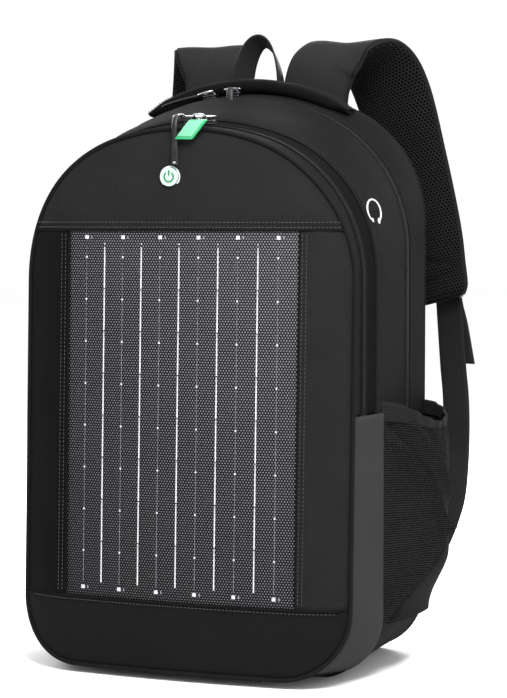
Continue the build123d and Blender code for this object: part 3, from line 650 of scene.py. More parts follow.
def zip_line(name, arch, y_a, y_b, lo, hi):
    """The tape, sunk a little between its walls, and two rows of coil turns along its middle."""
    tape = wall(f"{name}_tape", arch, y_a, arch, y_b, lo, hi, 7, MAT["tape"], -0.5, 0.0)
    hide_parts(f"{name}_tape")
    teeth = Lump()
    middle = (y_a + y_b) / 2
    for side in (-1, 1):
        path, normal = section_path(arch, middle + side * 1.25, lo, hi, 0.4)
        add_grains(teeth, path, normal, 1.5, (0.62, 1.35, 0.85), 0.1)
    coil = teeth.finish(f"{name}_coil", MAT["coil"])
    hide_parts(f"{name}_coil")


def off_floor(path, radius):
    """The path, raised where a tube of this radius round it would reach below the floor."""
    path[:, 2] = np.maximum(path[:, 2], radius + 0.1)
    return path


def seams():
    """Piping and rolled seam edges along the body's seams."""
    piping = Lump()
    piping.add_tube(section_path(EDGE, 0, *WHOLE_RANGE, 0.6, True)[0], 1.7, 10, closed=True)
    piece = piping.finish("front_piping_cord", MAT["piping"])
    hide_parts("front_piping")
    rolls = Lump()
    for arch, y_pair, span, radius in ((FRONT_ZIP, (Y_FZIP_A, Y_FZIP_B), TOP_RANGE, 0.9),
                                       (MAIN_ZIP, (Y_MZIP_A, Y_MZIP_B), WALL_RANGE, 1.0)):
        for y in y_pair:
            rolls.add_tube(section_path(arch, y, *span, 0.5)[0], radius)
    around = section_path(MAIN_FRONT, Y_MAIN_A, *WHOLE_RANGE, 0.3)[0]
    rolls.add_tube(off_floor(around, 1.1), 1.1, 8, closed=True)
    rolls.finish("seam_rolls", MAT["shell"])
    edge = Lump()
    around = section_path(BACK, Y_BACK + 0.8, *WHOLE_RANGE, -0.8)[0]
    edge.add_tube(off_floor(around, 1.9), 1.9, 10, closed=True)
    edge.finish("back_piping_cord", MAT["piping"])


def body_stitches():
    """Rows of stitches beside the seams: section, y, range and height above the wall."""
    stitches = Lump()
    rows = [(mix_arch(MAIN_FRONT, MAIN_ZIP, 0.05), Y_MAIN_A + 3.5, WALL_RANGE, 1.6),
            (mix_arch(MAIN_FRONT, MAIN_ZIP, 0.95), Y_MZIP_A - 3.6, WALL_RANGE, 1.6),
            (mix_arch(MAIN_ZIP, BACK, 0.08), Y_MZIP_B + 3.6, WALL_RANGE, 1.4),
            (FRONT_ZIP, Y_FZIP_A + 1.6, TOP_RANGE, 0.35), (FRONT_ZIP, Y_FZIP_B - 1.6, TOP_RANGE, 0.35),
            (MAIN_ZIP, Y_MZIP_A + 1.8, WALL_RANGE, 0.35), (MAIN_ZIP, Y_MZIP_B - 1.8, WALL_RANGE, 0.35)]
    for arch, y, span, out in rows:
        path, normal = section_path(arch, y, *span, out)
        add_grains(stitches, path, normal, BODY_STEP, BODY_STITCH)
    stitches.finish("body_stitches", MAT["thread"])


# ---------------------------------------------------------------- front panels
PANEL_INSET = 1.2


def front_outline():
    """The right half of the front face's edge from the bottom up, and the length run along it."""
    loop = arch_loop(EDGE)[: sum(COUNTS) + 1]
    x, z = loop[:, 0] - PANEL_INSET * loop[:, 2], loop[:, 1] - PANEL_INSET * loop[:, 3]
    return x, z, run_lengths(np.stack([x, z], 1), 0)


def outline_points(s_from, s_to, count):
    x, z, s = front_outline()
    at = np.linspace(s_from, s_to, count)
    return np.stack([np.interp(at, s, x), np.interp(at, s, z)], 1)


def outline_at(height):
    """The length along the outline at a height."""
    _x, z, s = front_outline()
    return np.interp(height, z[1:], s[1:])


def panel_points(flat, edges, puff):
    """Raises a flat (x, z) grid onto the front face, fuller away from the sewn edges."""
    x, z = flat[..., 0], flat[..., 1]
    points = np.stack([x, front_y(x, z), z], -1)
    distance = np.full(x.shape, 1e9)
    for edge in edges:
        a, b = np.asarray(edge)[:-1], np.asarray(edge)[1:]
        for p, q in zip(a, b):
            d = q - p
            t = np.clip(((flat - p) @ d) / (d @ d + 1e-9), 0, 1)
            distance = np.minimum(distance, np.linalg.norm(flat - (p + t[..., None] * d), axis=-1))
    body = 1 - np.exp(-distance / 9.0)
    lift = puff * body * (0.8 + 0.2 * SOFT(points)) + 0.5 * body * MEDIUM(points)
    lift += 0.22 * FINE(points) * np.exp(-distance / 12.0) * np.minimum(1, distance / 2)
    across = np.linspace(-150, 150, 301)
    slope = np.interp(x, across, np.gradient(front_profile(across)))
    normal = np.stack([slope, -np.ones_like(x), 0 * x + math.tan(LEAN)], -1)
    normal /= np.linalg.norm(normal, axis=-1)[..., None]
    return points + normal * (lift - 0.2)[..., None]


def ruled(first, second, rows):
    v = np.linspace(0, 1, rows)[None, :, None]
    return first[:, None] * (1 - v) + second[:, None] * v


def front_panels():
    """The four cloth panels round the solar module."""
    mirror = np.array([-1, 1])
    s_top, s_high, s_low = front_outline()[2][-1], outline_at(MODULE_Z1), outline_at(MODULE_Z0)
    arc = outline_points(s_top, s_high, 60)
    arc = np.concatenate([arc[::-1] * mirror, arc[1:]])
    half = arc[-1][0]
    seam = np.stack([np.linspace(-half, half, len(arc)), np.full(len(arc), MODULE_Z1)], 1)
    points = panel_points(ruled(seam, arc, 34), [seam, arc], 2.6)
    points[:, 0, 1] -= 1.0
    points[:, 1, 1] -= 1.2
    top = sheet_piece("top_panel_cloth", points, MAT["panel"])
    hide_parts("front_top_panel")
    low_arc = outline_points(s_low, 0, 70)
    low_arc = np.concatenate([low_arc * mirror, low_arc[::-1][1:]])
    half = abs(low_arc[0][0])
    seam_low = np.stack([np.linspace(-half, half, len(low_arc)), np.full(len(low_arc), MODULE_Z0)], 1)
    points = panel_points(ruled(low_arc, seam_low, 22), [seam_low, low_arc], 2.2)
    points[:, -1, 1] -= 1.0
    # The bottom panel is a darker copy of the panel cloth: painted shade.
    bottom = sheet_piece("bottom_panel_cloth", points, MAT["bottom_panel_painted_shade"])
    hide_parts("front_bottom_panel")
    side = outline_points(s_low, s_high, 70)
    inner = np.stack([np.full(len(side), MODULE_HALF_W - 1.0), side[:, 1]], 1)
    # The left panel is a darker copy of the panel cloth: painted shade.
    for name, sign, cloth in (("left", -1, "left_panel_painted_shade"), ("right", 1, "panel")):
        edges = [inner * np.array([sign, 1]), side * np.array([sign, 1])]
        points = panel_points(ruled(*edges, 16), edges, 1.9)
        piece = sheet_piece(f"{name}_panel_cloth", points, MAT[cloth], flip=sign > 0)
        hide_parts(f"front_{name}_panel")
    stitch_front(half)


def face_line(x, z, out):
    """A line on the front face, moved out of it, and its normals."""
    x, z = np.broadcast_arrays(np.asarray(x, float), np.asarray(z, float))
    return np.stack([x, front_y(x, z) - out, z], 1), np.stack([0 * x, 0 * x - 1, 0 * x], 1)


def stitch_front(half):
    """Topstitching and folded lips round the module's window, the lips in near-black cloth as painted shade
    in the seam's groove; half is the face's half width at its foot.
    """
    rows = Lump()
    wide = np.linspace(-half + 8, half - 8, 80)
    high = np.linspace(MODULE_Z0 + 3, MODULE_Z1 - 2, 90)
    lines = [(wide, MODULE_Z1 + 3.0, 1.9), (wide, MODULE_Z1 + 7.0, 2.3), (wide, MODULE_Z0 - 3.0, 1.9)]
    for sign in (-1, 1):
        for offset, out in ((3.0, 1.4), (6.5, 1.8)):
            lines.append((sign * (MODULE_HALF_W + offset), high, out))
    for x, z, out in lines:
        path, normal = face_line(x, z, out)
        add_grains(rows, path, normal, LONG_STEP, FACE_STITCH)
    rows.finish("front_stitches", MAT["bright_thread"])
    lips = Lump()
    across = np.linspace(-half + 6, half - 6, 60)
    for z in (MODULE_Z1 + 0.9, MODULE_Z0 - 0.9):
        lips.add_tube(face_line(across, z, 0.7)[0], 0.9, 8)
    for sign in (-1, 1):
        lips.add_tube(face_line(sign * (MODULE_HALF_W + 0.4), high, 0.3)[0], 0.7, 8)
    # The lips are real folds; their near-black zip tape cloth is painted shade for the seam's groove.
    lips.finish("front_seam_lips_painted_shade", MAT["tape"])


# ---------------------------------------------------------------- solar module
def solar_module():
    """The film over the cells, silvery ribbons between them and solder dots down their middles."""
    x = np.linspace(-MODULE_HALF_W, MODULE_HALF_W, 70)
    z = np.linspace(MODULE_Z0 - 1.0, MODULE_Z1 + 1.0, 90)
    gx, gz = np.meshgrid(x, z, indexing="ij")
    points = np.stack([gx, front_y(gx, gz) + 0.1, gz], -1)
    film = sheet_piece("solar_film", points, MAT["film"], thickness=1.5)
    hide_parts("solar_cover_film", "solar_cells", "solar_backsheet")
    columns = 6
    pitch = 2 * MODULE_HALF_W / columns
    bright, dim = Lump(), Lump()
    top, low, dash = MODULE_Z1 - 13.0, MODULE_Z0 + 11.0, 34.0

    def bar(lump, x, z0, z1, width, out=0.25):
        path = face_line(x, np.linspace(z0, z1, 4), out - 0.05)[0]
        lump.add_flat_tube(path, (width / 2, 0.22, 1.0), 8)

    for k in range(1, columns):
        x0 = -MODULE_HALF_W + k * pitch
        z1 = top
        bar(bright, x0, top + 2.0, top + 3.2, 0.9)
        while z1 > low:
            bar(bright, x0, max(low, z1 - dash + 0.9), z1, 1.15)
            z1 -= dash
    for k in range(columns):
        x0 = -MODULE_HALF_W + (k + 0.5) * pitch
        for z0 in (MODULE_Z1 - 5.0, MODULE_Z0 + 7.5):
            bar(bright, x0, z0 - 1.5, z0 + 1.5, 3.4, 0.4)
            bar(dim, x0 + 4.4, z0 - 1.2, z0 + 1.2, 1.2, 0.3)
        z0, n = top - 8.0, 0
        while z0 > low:
            size, lump = (0.45, dim) if n % 2 else (0.75, bright)
            bar(lump, x0, z0 - size, z0 + size, size * 2.0, 0.35)
            z0 -= dash / 2
            n += 1
        bar(dim, x0, low, top, 0.30, 0.12)
    piece = bright.finish("ribbon_lines", MAT["ribbon"])
    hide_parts("solar_ribbons")
    dim.finish("ribbon_dots", MAT["dim_dot"])


# ---------------------------------------------------------------- back
def back_side():
    """The air mesh panel, drawn in as rings to a small hole that one face closes, and its pads."""
    inset = Arch(BACK.half_width - 1.5, BACK.top - 1.5, BACK.r_top - 1.5, BACK.r_shoulder - 1.5, 2.0)
    loop = arch_loop(inset)[:, :2]
    centre = np.array([0.0, 230.0])
    rings = 26
    share = np.linspace(1, 0.03, rings)[None, :, None]
    grid = centre + (loop[:, None] - centre) * share
    y = np.full(grid.shape[:2], Y_BACK + 1.0)
    points = np.stack([grid[..., 0], y, grid[..., 1]], -1)
    points[..., 1] += 0.5 * MEDIUM(points)
    faces = grid_faces(LOOP_N, rings, close_u=True).tolist()
    faces.append([k * rings + rings - 1 for k in range(LOOP_N)])
    uvs = points[..., [0, 2]].reshape(-1, 2) / 10
    # The back panel's air mesh is a paler copy: painted light.
    panel = make_mesh("back_panel_cloth", points.reshape(-1, 3), faces, MAT["back_mesh_painted_light"], uvs)
    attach(panel, "pack")
    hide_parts("back_panel")
    for name in ("left", "right", "lumbar"):
        piece = pad(f"pad_{name}", *box_mm(f"back_pad_{name}"))
        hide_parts(f"back_pad_{name}")


def pad(name, low, high):
    """A crowned foam pad under spacer mesh, with a rolled edge and two sewn channels across."""
    half = (high - low) / 2
    centre = (high + low) / 2
    nu, nv = 60, 60
    u = np.linspace(-1, 1, nu)[:, None] * np.ones((1, nv))
    v = np.linspace(-1, 1, nv)[None, :] * np.ones((nu, 1))
    su, sv = u * np.sqrt(1 - 0.12 * v**4), v * np.sqrt(1 - 0.12 * u**4)
    x, z = centre[0] + half[0] * su, centre[2] + half[2] * sv
    edge_x, edge_z = (1 - np.abs(u)) * half[0], (1 - np.abs(v)) * half[2]
    rim = 1 - np.exp(-np.minimum(edge_x, edge_z) / 9.0)
    channels = 0
    for level in (-0.33, 0.33):
        channels = channels + np.exp(-(((v - level) * half[2] / 4.0) ** 2))
    height = (high[1] - low[1]) * rim * (1 - 0.45 * channels)
    outer = np.stack([x, low[1] + 0.6 + height, z], -1)
    outer[..., 1] += 0.5 * MEDIUM(outer) * rim
    outer[[0, -1], :, 1] = low[1] - 0.2
    outer[:, [0, -1], 1] = low[1] - 0.2
    inner = outer.copy()
    inner[..., 1] = low[1] - 0.2
    count = nu * nv
    verts = np.concatenate([outer.reshape(-1, 3), inner.reshape(-1, 3)])
    faces = np.concatenate([grid_faces(nu, nv, flip=True), grid_faces(nu, nv) + count])
    uv = np.stack([x, z], -1).reshape(-1, 2) / 10
    # The pads' air mesh is a paler copy: painted light.
    piece = make_mesh(name, verts, faces, MAT["pad_mesh_painted_light"], np.concatenate([uv, uv]))
    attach(piece, "pack")
    return piece


# ---------------------------------------------------------------- straps
STRAP_ROOT_X, LEFT_FLARE, STRAP_T, STRAP_TWIST = 45.0, 0.6, 12.0, 12.0
STRAP_PATH = [
    (45.0, 103.0, 440.0, 54.0), (45.0, 103.0, 462.0, 54.0), (46.5, 104.5, 484.0, 56.0),
    (53.0, 111.0, 503.0, 60.0), (67.0, 126.0, 513.5, 66.0), (85.0, 145.0, 506.0, 66.0),
    (98.0, 157.0, 478.0, 66.0), (112.0, 165.0, 420.0, 64.0), (127.0, 167.0, 360.0, 60.0),
    (134.5, 166.0, 325.0, 56.0), (139.5, 164.5, 305.0, 52.0), (141.5, 163.5, 297.0, 44.0),
]


def strap_frame(sign):
    """A strap's centre line, the directions across, along and out of it, and its widths."""
    flare = 1.0 if sign > 0 else LEFT_FLARE
    rows = smooth_line(STRAP_PATH, 14)
    centre = rows[:, :3].copy()
    centre[:, 0] = sign * (STRAP_ROOT_X + (centre[:, 0] - STRAP_ROOT_X) * flare)
    share = np.linspace(0, 1, len(rows))
    turn = np.radians(STRAP_TWIST) * smoothstep((share - 0.35) / 0.65)
    across = np.stack([np.cos(turn), -sign * np.sin(turn), 0 * turn], 1)
    along = np.gradient(centre, axis=0)
    along /= np.linalg.norm(along, axis=1)[:, None]
    across -= along * (across * along).sum(1)[:, None]
    across /= np.linalg.norm(across, axis=1)[:, None]
    out = np.cross(across, along)
    return centre, across, along, out, rows[:, 3]


def strap_surface(sign, side, a_from, a_to, count, extra=0.0):
    """Points of one face of the strap; side is +1 for the outer cloth and -1 for the lining."""
    centre, across, _along, out, width = strap_frame(sign)
    a = np.linspace(a_from, a_to, count)[None, :]
    edge, full = 1.9, STRAP_T / 2
    height = edge + (full - edge) * (1 - np.abs(a) ** 3.2)
    n = len(centre)
    place = np.linspace(0, 1, n)[:, None]
    end = smoothstep((1 - place) / 0.05) * 0.55 + 0.45
    height = height * end * np.ones((n, 1)) + extra
    points = (centre[:, None] + across[:, None] * (a * width[:, None] / 2)[..., None]
              + out[:, None] * (side * height)[..., None])
    fold = 0
    for at, size, lean in ((0.80, 1.6, 0.03), (0.86, 1.3, -0.02)):
        fold = fold + size * np.exp(-(((place - at - lean * a) / 0.012) ** 2))
    ripple = 0.5 * MEDIUM(points) - fold * (1 - np.abs(a) ** 4)
    return points + out[:, None] * (side * ripple)[..., None]


def edge_binding(lump, rim, across, out):
    """A rolled binding round a strap's edge, flattened along the strap's own directions."""
    sides = 12
    verts, faces = tube_data(rim, 1.0, sides)
    middle, across, out = [np.repeat(rows, sides, axis=0) for rows in (rim, across, out)]
    offset = verts - middle
    offset = across * (offset * across).sum(1)[:, None] * 2.6 + out * (offset * out).sum(1)[:, None] * 2.7
    lump.add(middle + offset, faces)


def shoulder_straps():
    for name, sign in (("left", -1), ("right", 1)):
        body = f"strap_{name}"
        face = sheet_piece(f"{body}_cloth", strap_surface(sign, 1, -1, 1, 26), MAT["strap"], body=None)
        lining = sheet_piece(f"{body}_lining", strap_surface(sign, -1, -1, 1, 26), MAT["mesh"],
                             flip=True, body=None)
        edges, threads = Lump(), Lump()
        centre, across, _along, out, width = strap_frame(sign)
        for a in (-1, 1):
            edge_binding(edges, centre + across * (a * width / 2)[:, None], across, out)
            for side in (1, -1):
                path = strap_surface(sign, side, a * 0.86, a * 0.86, 1, 0.25)[:, 0]
                add_grains(threads, path, out * side, LONG_STEP, STRAP_STITCH)
        binding = edges.finish(f"{body}_binding", MAT["binding"], body=None)
        thread = threads.finish(f"{body}_stitches", MAT["thread"], body=None)
        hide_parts(f"strap_upper_{name}", f"strap_lower_{name}")
        for piece in (face, lining, binding, thread):
            apply_modifiers(piece)
            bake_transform(piece)
        webbing_pieces(name, sign)


def apply_modifiers(piece):
    """Replaces a piece's mesh by what its modifiers make of it."""
    if not piece.modifiers:
        return
    bpy.context.view_layer.update()
    graph = bpy.context.evaluated_depsgraph_get()
    mesh = bpy.data.meshes.new_from_object(piece.evaluated_get(graph))
    piece.modifiers.clear()
    piece.data = mesh


WEB_PATH = [(145.0, 173.0, 300.0), (149.0, 174.0, 242.0), (153.0, 171.0, 207.0), (155.0, 165.0, 164.0),
            (157.0, 148.0, 129.0), (156.0, 130.0, 108.0), (152.0, 111.0, 88.0), (145.0, 97.0, 74.0)]
TAIL_PATH = [(143.0, 177.4, 310.0), (145.5, 179.0, 292.0), (149.0, 182.0, 275.0), (155.0, 184.0, 240.0)]
WEB_W = 25.0


def web_points(path, sign, width, twist_to, rows=9):
    """A ribbon along a path for the right strap, or its mirror, moved in as the left strap is."""
    points = smooth_line(path, 12)
    if sign < 0:
        shift = 139.0 - (STRAP_ROOT_X + (139.0 - STRAP_ROOT_X) * LEFT_FLARE)
        points[:, 0] -= shift * np.clip((points[:, 2] - 74.0) / 201.0, 0, 1.2)
        points[:, 0] *= -1
    share = np.linspace(0, 1, len(points))
    turn = np.radians(STRAP_TWIST + (twist_to - STRAP_TWIST) * share)
    across = np.stack([np.cos(turn), -sign * np.sin(turn), 0 * turn], 1)
    a = np.linspace(-0.5, 0.5, rows)[None, :, None]
    return points[:, None] + across[:, None] * a * width


def webbing_pieces(name, sign):
    body = f"strap_{name}"
    web = sheet_piece(f"webbing_{name}_cloth", web_points(WEB_PATH, sign, WEB_W, 4.0), MAT["webbing"],
                      thickness=1.5, body=None)
    apply_modifiers(web)
    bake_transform(web)
    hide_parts(f"webbing_{name}")
    tail = sheet_piece(f"tail_{name}_cloth", web_points(TAIL_PATH, sign, WEB_W - 1, STRAP_TWIST),
                       MAT["webbing"], thickness=1.5, body=body)
    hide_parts(f"webbing_tail_{name}")


# ---------------------------------------------------------------- handle, loop, yoke, tabs
def carry_handle():
    """A padded arch over the top, flatter at its sewn ends, with a row of stitches down each side."""
    half, top, rise, width, thick = 84.0, 487.5, 20.5, 22.0, 7.0
    radius = (half**2 + rise**2) / (2 * rise)
    angle = np.linspace(-1, 1, 90) * math.asin(half / radius) * 1.10
    centre = np.stack([radius * np.sin(angle), angle * 0 + 64.0,
                       top - thick / 2 - radius + radius * np.cos(angle)], 1)
    out = np.stack([np.sin(angle), 0 * angle, np.cos(angle)], 1)
    around = np.linspace(0, 2 * math.pi, 28, endpoint=False)[None, :]
    taper = (0.38 + 0.62 * smoothstep((1 - np.abs(angle / angle[-1])) / 0.22))[:, None]
    cos, sin = np.cos(around), np.sin(around)
    ax = np.sign(cos) * np.abs(cos) ** 0.7 * width / 2 * (0.75 + 0.25 * taper)
    up = np.sign(sin) * np.abs(sin) ** 0.8 * thick / 2 * taper * np.where(sin < 0, 2.5, 1.0)
    points = centre[:, None] + np.array([0, 1.0, 0]) * ax[..., None] + out[:, None] * up[..., None]
    points += out[:, None] * (0.35 * MEDIUM(points))[..., None]
    verts = points.reshape(-1, 3)
    faces = grid_faces(90, 28, close_v=True).tolist()
    faces += [list(range(28))[::-1], [89 * 28 + k for k in range(28)]]
    s = run_lengths(centre, 0)[:, None] * np.ones((1, 28))
    t = (around * 4.6) * np.ones((90, 1))
    uvs = np.stack([s, t], -1).reshape(-1, 2) / 10
    piece = make_mesh("carry_handle_pad", verts, faces, MAT["shell"], uvs)
    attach(piece, "pack")
    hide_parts("carry_handle")
    threads = Lump()
    for side in (-1, 1):
        path = centre + np.array([0, side * 8.4, 0]) + out * (thick / 2 * taper * 0.92)
        add_grains(threads, path, out, SHORT_STEP, SHORT_STITCH, 0.15)
    threads.finish("handle_stitches", MAT["thread"])


def hang_loop():
    """A standing loop of webbing, its left leg turned towards the front."""
    x0, y0, foot, half, rise, width, turn0 = 2.5, 86.0, 474.0, 18.5, 48.0, 19.0, 62.0
    share = np.linspace(0, 1, 60)
    angle = math.pi * share
    centre = np.stack([x0 - half * np.cos(angle), angle * 0 + y0, foot + rise * np.sin(angle)], 1)
    along = np.stack([half * np.sin(angle), 0 * angle, rise * np.cos(angle)], 1)
    along /= np.linalg.norm(along, axis=1)[:, None]
    turn = np.radians(turn0) * (1 - share)
    side = np.cross(along, np.array([0, 1.0, 0]))
    across = np.array([0, 1.0, 0]) * np.cos(turn)[:, None] - side * np.sin(turn)[:, None]
    a = np.linspace(-0.5, 0.5, 9)[None, :, None]
    points = centre[:, None] + across[:, None] * a * width
    piece = sheet_piece("hang_loop_webbing", points, MAT["webbing"], thickness=1.6)
    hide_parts("hang_loop")


def yoke():
    """The strap yoke: a sewn patch with soft edges and a crowned outer face, stitched above and below."""
    low, high = box_mm("strap_yoke")
    u, v = np.linspace(-1, 1, 30), np.linspace(-1, 1, 14)
    gu, gv = np.meshgrid(u, v, indexing="ij")
    centre, half = (high + low) / 2, (high - low) / 2
    rim = 1 - np.maximum(np.abs(gu), np.abs(gv)) ** 8
    y = low[1] + 0.4 + (high[1] - low[1]) * rim
    points = np.stack([centre[0] + half[0] * gu, y, centre[2] + half[2] * gv], -1)
    piece = sheet_piece("yoke_cloth", points, MAT["shell"], flip=True, thickness=1.2)
    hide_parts("strap_yoke")
    threads = Lump()
    x = np.linspace(low[0] + 4, high[0] - 4, 40)
    for z in (low[2] + 3, high[2] - 3):
        path = np.stack([x, x * 0 + high[1] + 0.5, x * 0 + z], 1)
        add_grains(threads, path, np.tile([0, 1.0, 0], (40, 1)), SHORT_STEP, SHORT_STITCH)
    threads.finish("yoke_stitches", MAT["thread"])


# ---------------------------------------------------------------- side pockets
POCKET_LINE = [(148.5, -33.0), (170.0, 4.0), (180.0, 42.0), (174.0, 71.0), (148.5, 84.0)]
POCKET_Z0, POCKET_Z1, BINDING_H = 42.0, 204.0, 12.0


def pocket_surface(sign, z_low, z_high, rows, out=0.0):
    """The bulging pocket between two heights, drawn in at its foot; u runs from front to rear."""
    line = smooth_line(POCKET_LINE, 16)
    u = np.linspace(0, 1, len(line))[:, None]
    v = np.linspace(0, 1, rows)[None, :]
    dip = 9.0 * np.sin(math.pi * u) ** 2 * (z_high > 190)
    z = z_low + (z_high - z_low) * v - dip * v**2 + 4.0 * (1 - u) * v**3
    share = 0.42 + 0.58 * smoothstep((z - POCKET_Z0) / 52.0)
    share = share * (1 - 0.10 * smoothstep((z - 165.0) / 40.0))
    x = 149.6 + (line[:, :1] - 148.5) * share + out
    y = line[:, 1:2] * np.ones_like(z)
    y = y - 5.0 * (1 - smoothstep((z - POCKET_Z0) / 55.0)) * smoothstep((y - 20.0) / 60.0)
    points = np.stack([sign * x, y, z], -1)
    return points, u


def pocket_folds(points, u):
    """Two slanting pleats that meet at the pocket's rear edge, and small gathers under the binding."""
    y, z = points[..., 1], points[..., 2]
    lift = np.zeros_like(z)
    for (y0, z0), (y1, z1), size in (((-30, 202), (42, 116), 7.0), ((42, 114), (-26, 48), 5.5),
                                     ((0, 204), (60, 140), 4.0)):
        run_y, run_z = y1 - y0, z1 - z0
        t = np.clip(((y - y0) * run_y + (z - z0) * run_z) / (run_y**2 + run_z**2), 0, 1)
        dy, dz = y - (y0 + t * run_y), z - (z0 + t * run_z)
        across = (dy * run_z - dz * run_y) / math.hypot(run_y, run_z)
        d = np.hypot(dy, dz)
        crest = size * np.exp(-((d / 5.0) ** 2))
        trough = 0.7 * size * np.exp(-(((across + 7.0) / 4.0) ** 2)) * np.exp(-((d / 14.0) ** 2))
        lift += crest - trough
    gather = 1.1 * np.sin(u * 62.0 + 2 * SOFT(points)) * np.exp(-np.abs(z - 200.0) / 14.0)
    edge = np.minimum(u, 1 - u)
    return (lift + gather + 0.9 * MEDIUM(points)) * smoothstep(edge / 0.12)


def side_pockets():
    """Mesh pockets with an elastic binding that rides on the mesh's upper edge."""
    for name, sign in (("left", -1), ("right", 1)):
        points, u = pocket_surface(sign, POCKET_Z0, POCKET_Z1, 60)
        lift = pocket_folds(points, u * np.ones_like(points[..., 0]))
        points[..., 0] += sign * lift
        piece = sheet_piece(f"pocket_{name}_mesh", points, MAT["pocket"], thickness=1.0, flip=sign < 0)
        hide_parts(f"side_pocket_{name}")
        rim, u = pocket_surface(sign, POCKET_Z1 - 1.0, POCKET_Z1 + BINDING_H, 8, 0.5)
        wave = 1.0 * np.sin(u * 58.0) * np.linspace(0.2, 1, 8)[None, :]
        rim[..., 0] += sign * wave * smoothstep(np.minimum(u, 1 - u) / 0.12)
        rim[:, :, 2] += points[:, -1:, 2] - rim[:, :1, 2] - 1.0
        binding = sheet_piece(f"pocket_{name}_binding", rim, MAT["elastic"], thickness=2.0, flip=sign < 0)
        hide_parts(f"pocket_binding_{name}")


# ---------------------------------------------------------------- small hardware
FRONT_BAIL_Z, MAIN_BAIL_Z = 450.1, 477.1
ARC_FRONT, ARC_MAIN = 244.0, 285.0
Y_FRONT_ZIP, Y_MAIN_ZIP = -55.0, 40.0
FRONT_ANGLES = {"left": -0.8, "right": 3.0}
MAIN_ANGLES = {"left": -8.0, "right": -1.5}


def turn_about(points, centre_z, angle):
    """Points turned to the side about a level axis along y at a height."""
    cos, sin = math.cos(math.radians(angle)), math.sin(math.radians(angle))
    x, y, z = (np.asarray(points, float) - np.array([0, 0, centre_z])).T
    return np.stack([x * cos + z * sin, y, z * cos - x * sin + centre_z], -1)


def rounded_box(centre, size, radius):
    """A box with rounded edges, as a stretched ball."""
    verts, faces = ball_template(12, 16)
    half = np.asarray(size, float) / 2 - radius
    corner = np.sign(verts) * (np.abs(verts) > 1e-3) * half
    return corner + verts * radius + np.asarray(centre, float), faces


def turned_piece(lump, name, material, body, centre_z, angle, slot_name, *replaced):
    """Turns a lump about its arch's centre and makes it a piece."""
    lump.verts = [turn_about(verts, centre_z, angle) for verts in lump.verts]
    piece = lump.finish(name, material, body)
    if replaced:
        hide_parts(*replaced)


def slider_piece(node, y, base_z, centre_z, angle, along_zip):
    """A slider: two plates joined by a neck, with a bridge over the top, along the zip or across it."""
    parts = Lump()
    for low, wide in ((2.3, 9.6), (4.4, 8.6)):
        parts.add(*rounded_box((0, y, base_z + low), (11.5, wide, 1.7), 0.8))
    parts.add(*rounded_box((0, y, base_z + 3.2), (3.0, 3.0, 3.0), 1.0))
    t = np.linspace(0, math.pi, 14)
    x, depth = (np.cos(t) * 4.2, 0 * t + y) if along_zip else (0 * t, y + np.cos(t) * 3.6)
    parts.add_tube(np.stack([x, depth, base_z + 4.6 + np.sin(t) * 2.6], 1), 0.75)
    turned_piece(parts, f"{node}_body", MAT["dark_metal"], node, centre_z, angle, "metal", node)


def add_ring(lump, centre, along, across, length, width, wire=0.8):
    """A long rounded ring of round wire."""
    t = np.linspace(0, 2 * math.pi, 28, endpoint=False)
    c, s = np.cos(t), np.sin(t)
    path = (np.sign(c) * np.abs(c) ** 0.7 * length / 2)[:, None] * np.asarray(along, float)
    path = path + (np.sign(s) * np.abs(s) ** 0.7 * width / 2)[:, None] * np.asarray(across, float)
    lump.add_tube(np.asarray(centre, float) + path, wire, 8, True)


def hardware():
    for side in ("left", "right"):
        slider_piece(f"front_slider_{side}", Y_FRONT_ZIP, 443.0, ARC_FRONT, FRONT_ANGLES[side], False)
        slider_piece(f"main_slider_{side}", Y_MAIN_ZIP, 470.0, ARC_MAIN, MAIN_ANGLES[side], True)
    front_left_pull()
    green_tag()
    main_left_pull()
    main_right_pull()


def front_left_pull():
    """A wire ring through the slider and a flat moulded cord that hangs over the front edge."""
    place = ("front_pull_left", ARC_FRONT, FRONT_ANGLES["left"])
    ring = Lump()
    add_ring(ring, (0, -66.0, FRONT_BAIL_Z + 0.4), (0, 1, 0.04), (1, 0, 0), 24.0, 8.0)
    add_ring(ring, (-0.5, -81.0, FRONT_BAIL_Z), (0, 1, -0.1), (1, 0, 0.2), 11.0, 7.0, 0.75)
    turned_piece(ring, "front_pull_ring", MAT["metal"], *place, "metal")
    path = smooth_line([(0, -80.0, 450.4), (0, -87.5, 449.5), (0, -91.6, 443.0), (0, -92.2, 430.0),
                        (0, -92.2, 419.0), (0, -92.0, 411.5)])
    share = np.linspace(0, 1, len(path))
    wide = 2.3 + 0.7 * smoothstep((share - 0.55) / 0.2)
    cord = Lump()
    cord.add_flat_tube(path, np.stack([wide, 0 * share + 1.15, 0 * share + 1.15], 1))
    for z in (424.0, 421.5, 419.0, 416.5):
        cord.add(*rounded_box((0, -93.2, z), (4.6, 1.0, 1.1), 0.4))
    turned_piece(cord, "front_pull_cord", MAT["rubber"], *place, "pull_rubber", "front_pull_left")
    tip = Lump()
    tip.add(*rounded_box((0, -93.4, 413.3), (2.4, 0.8, 1.5), 0.35))
    turned_piece(tip, "front_pull_tip", MAT["metal"], *place, "metal")


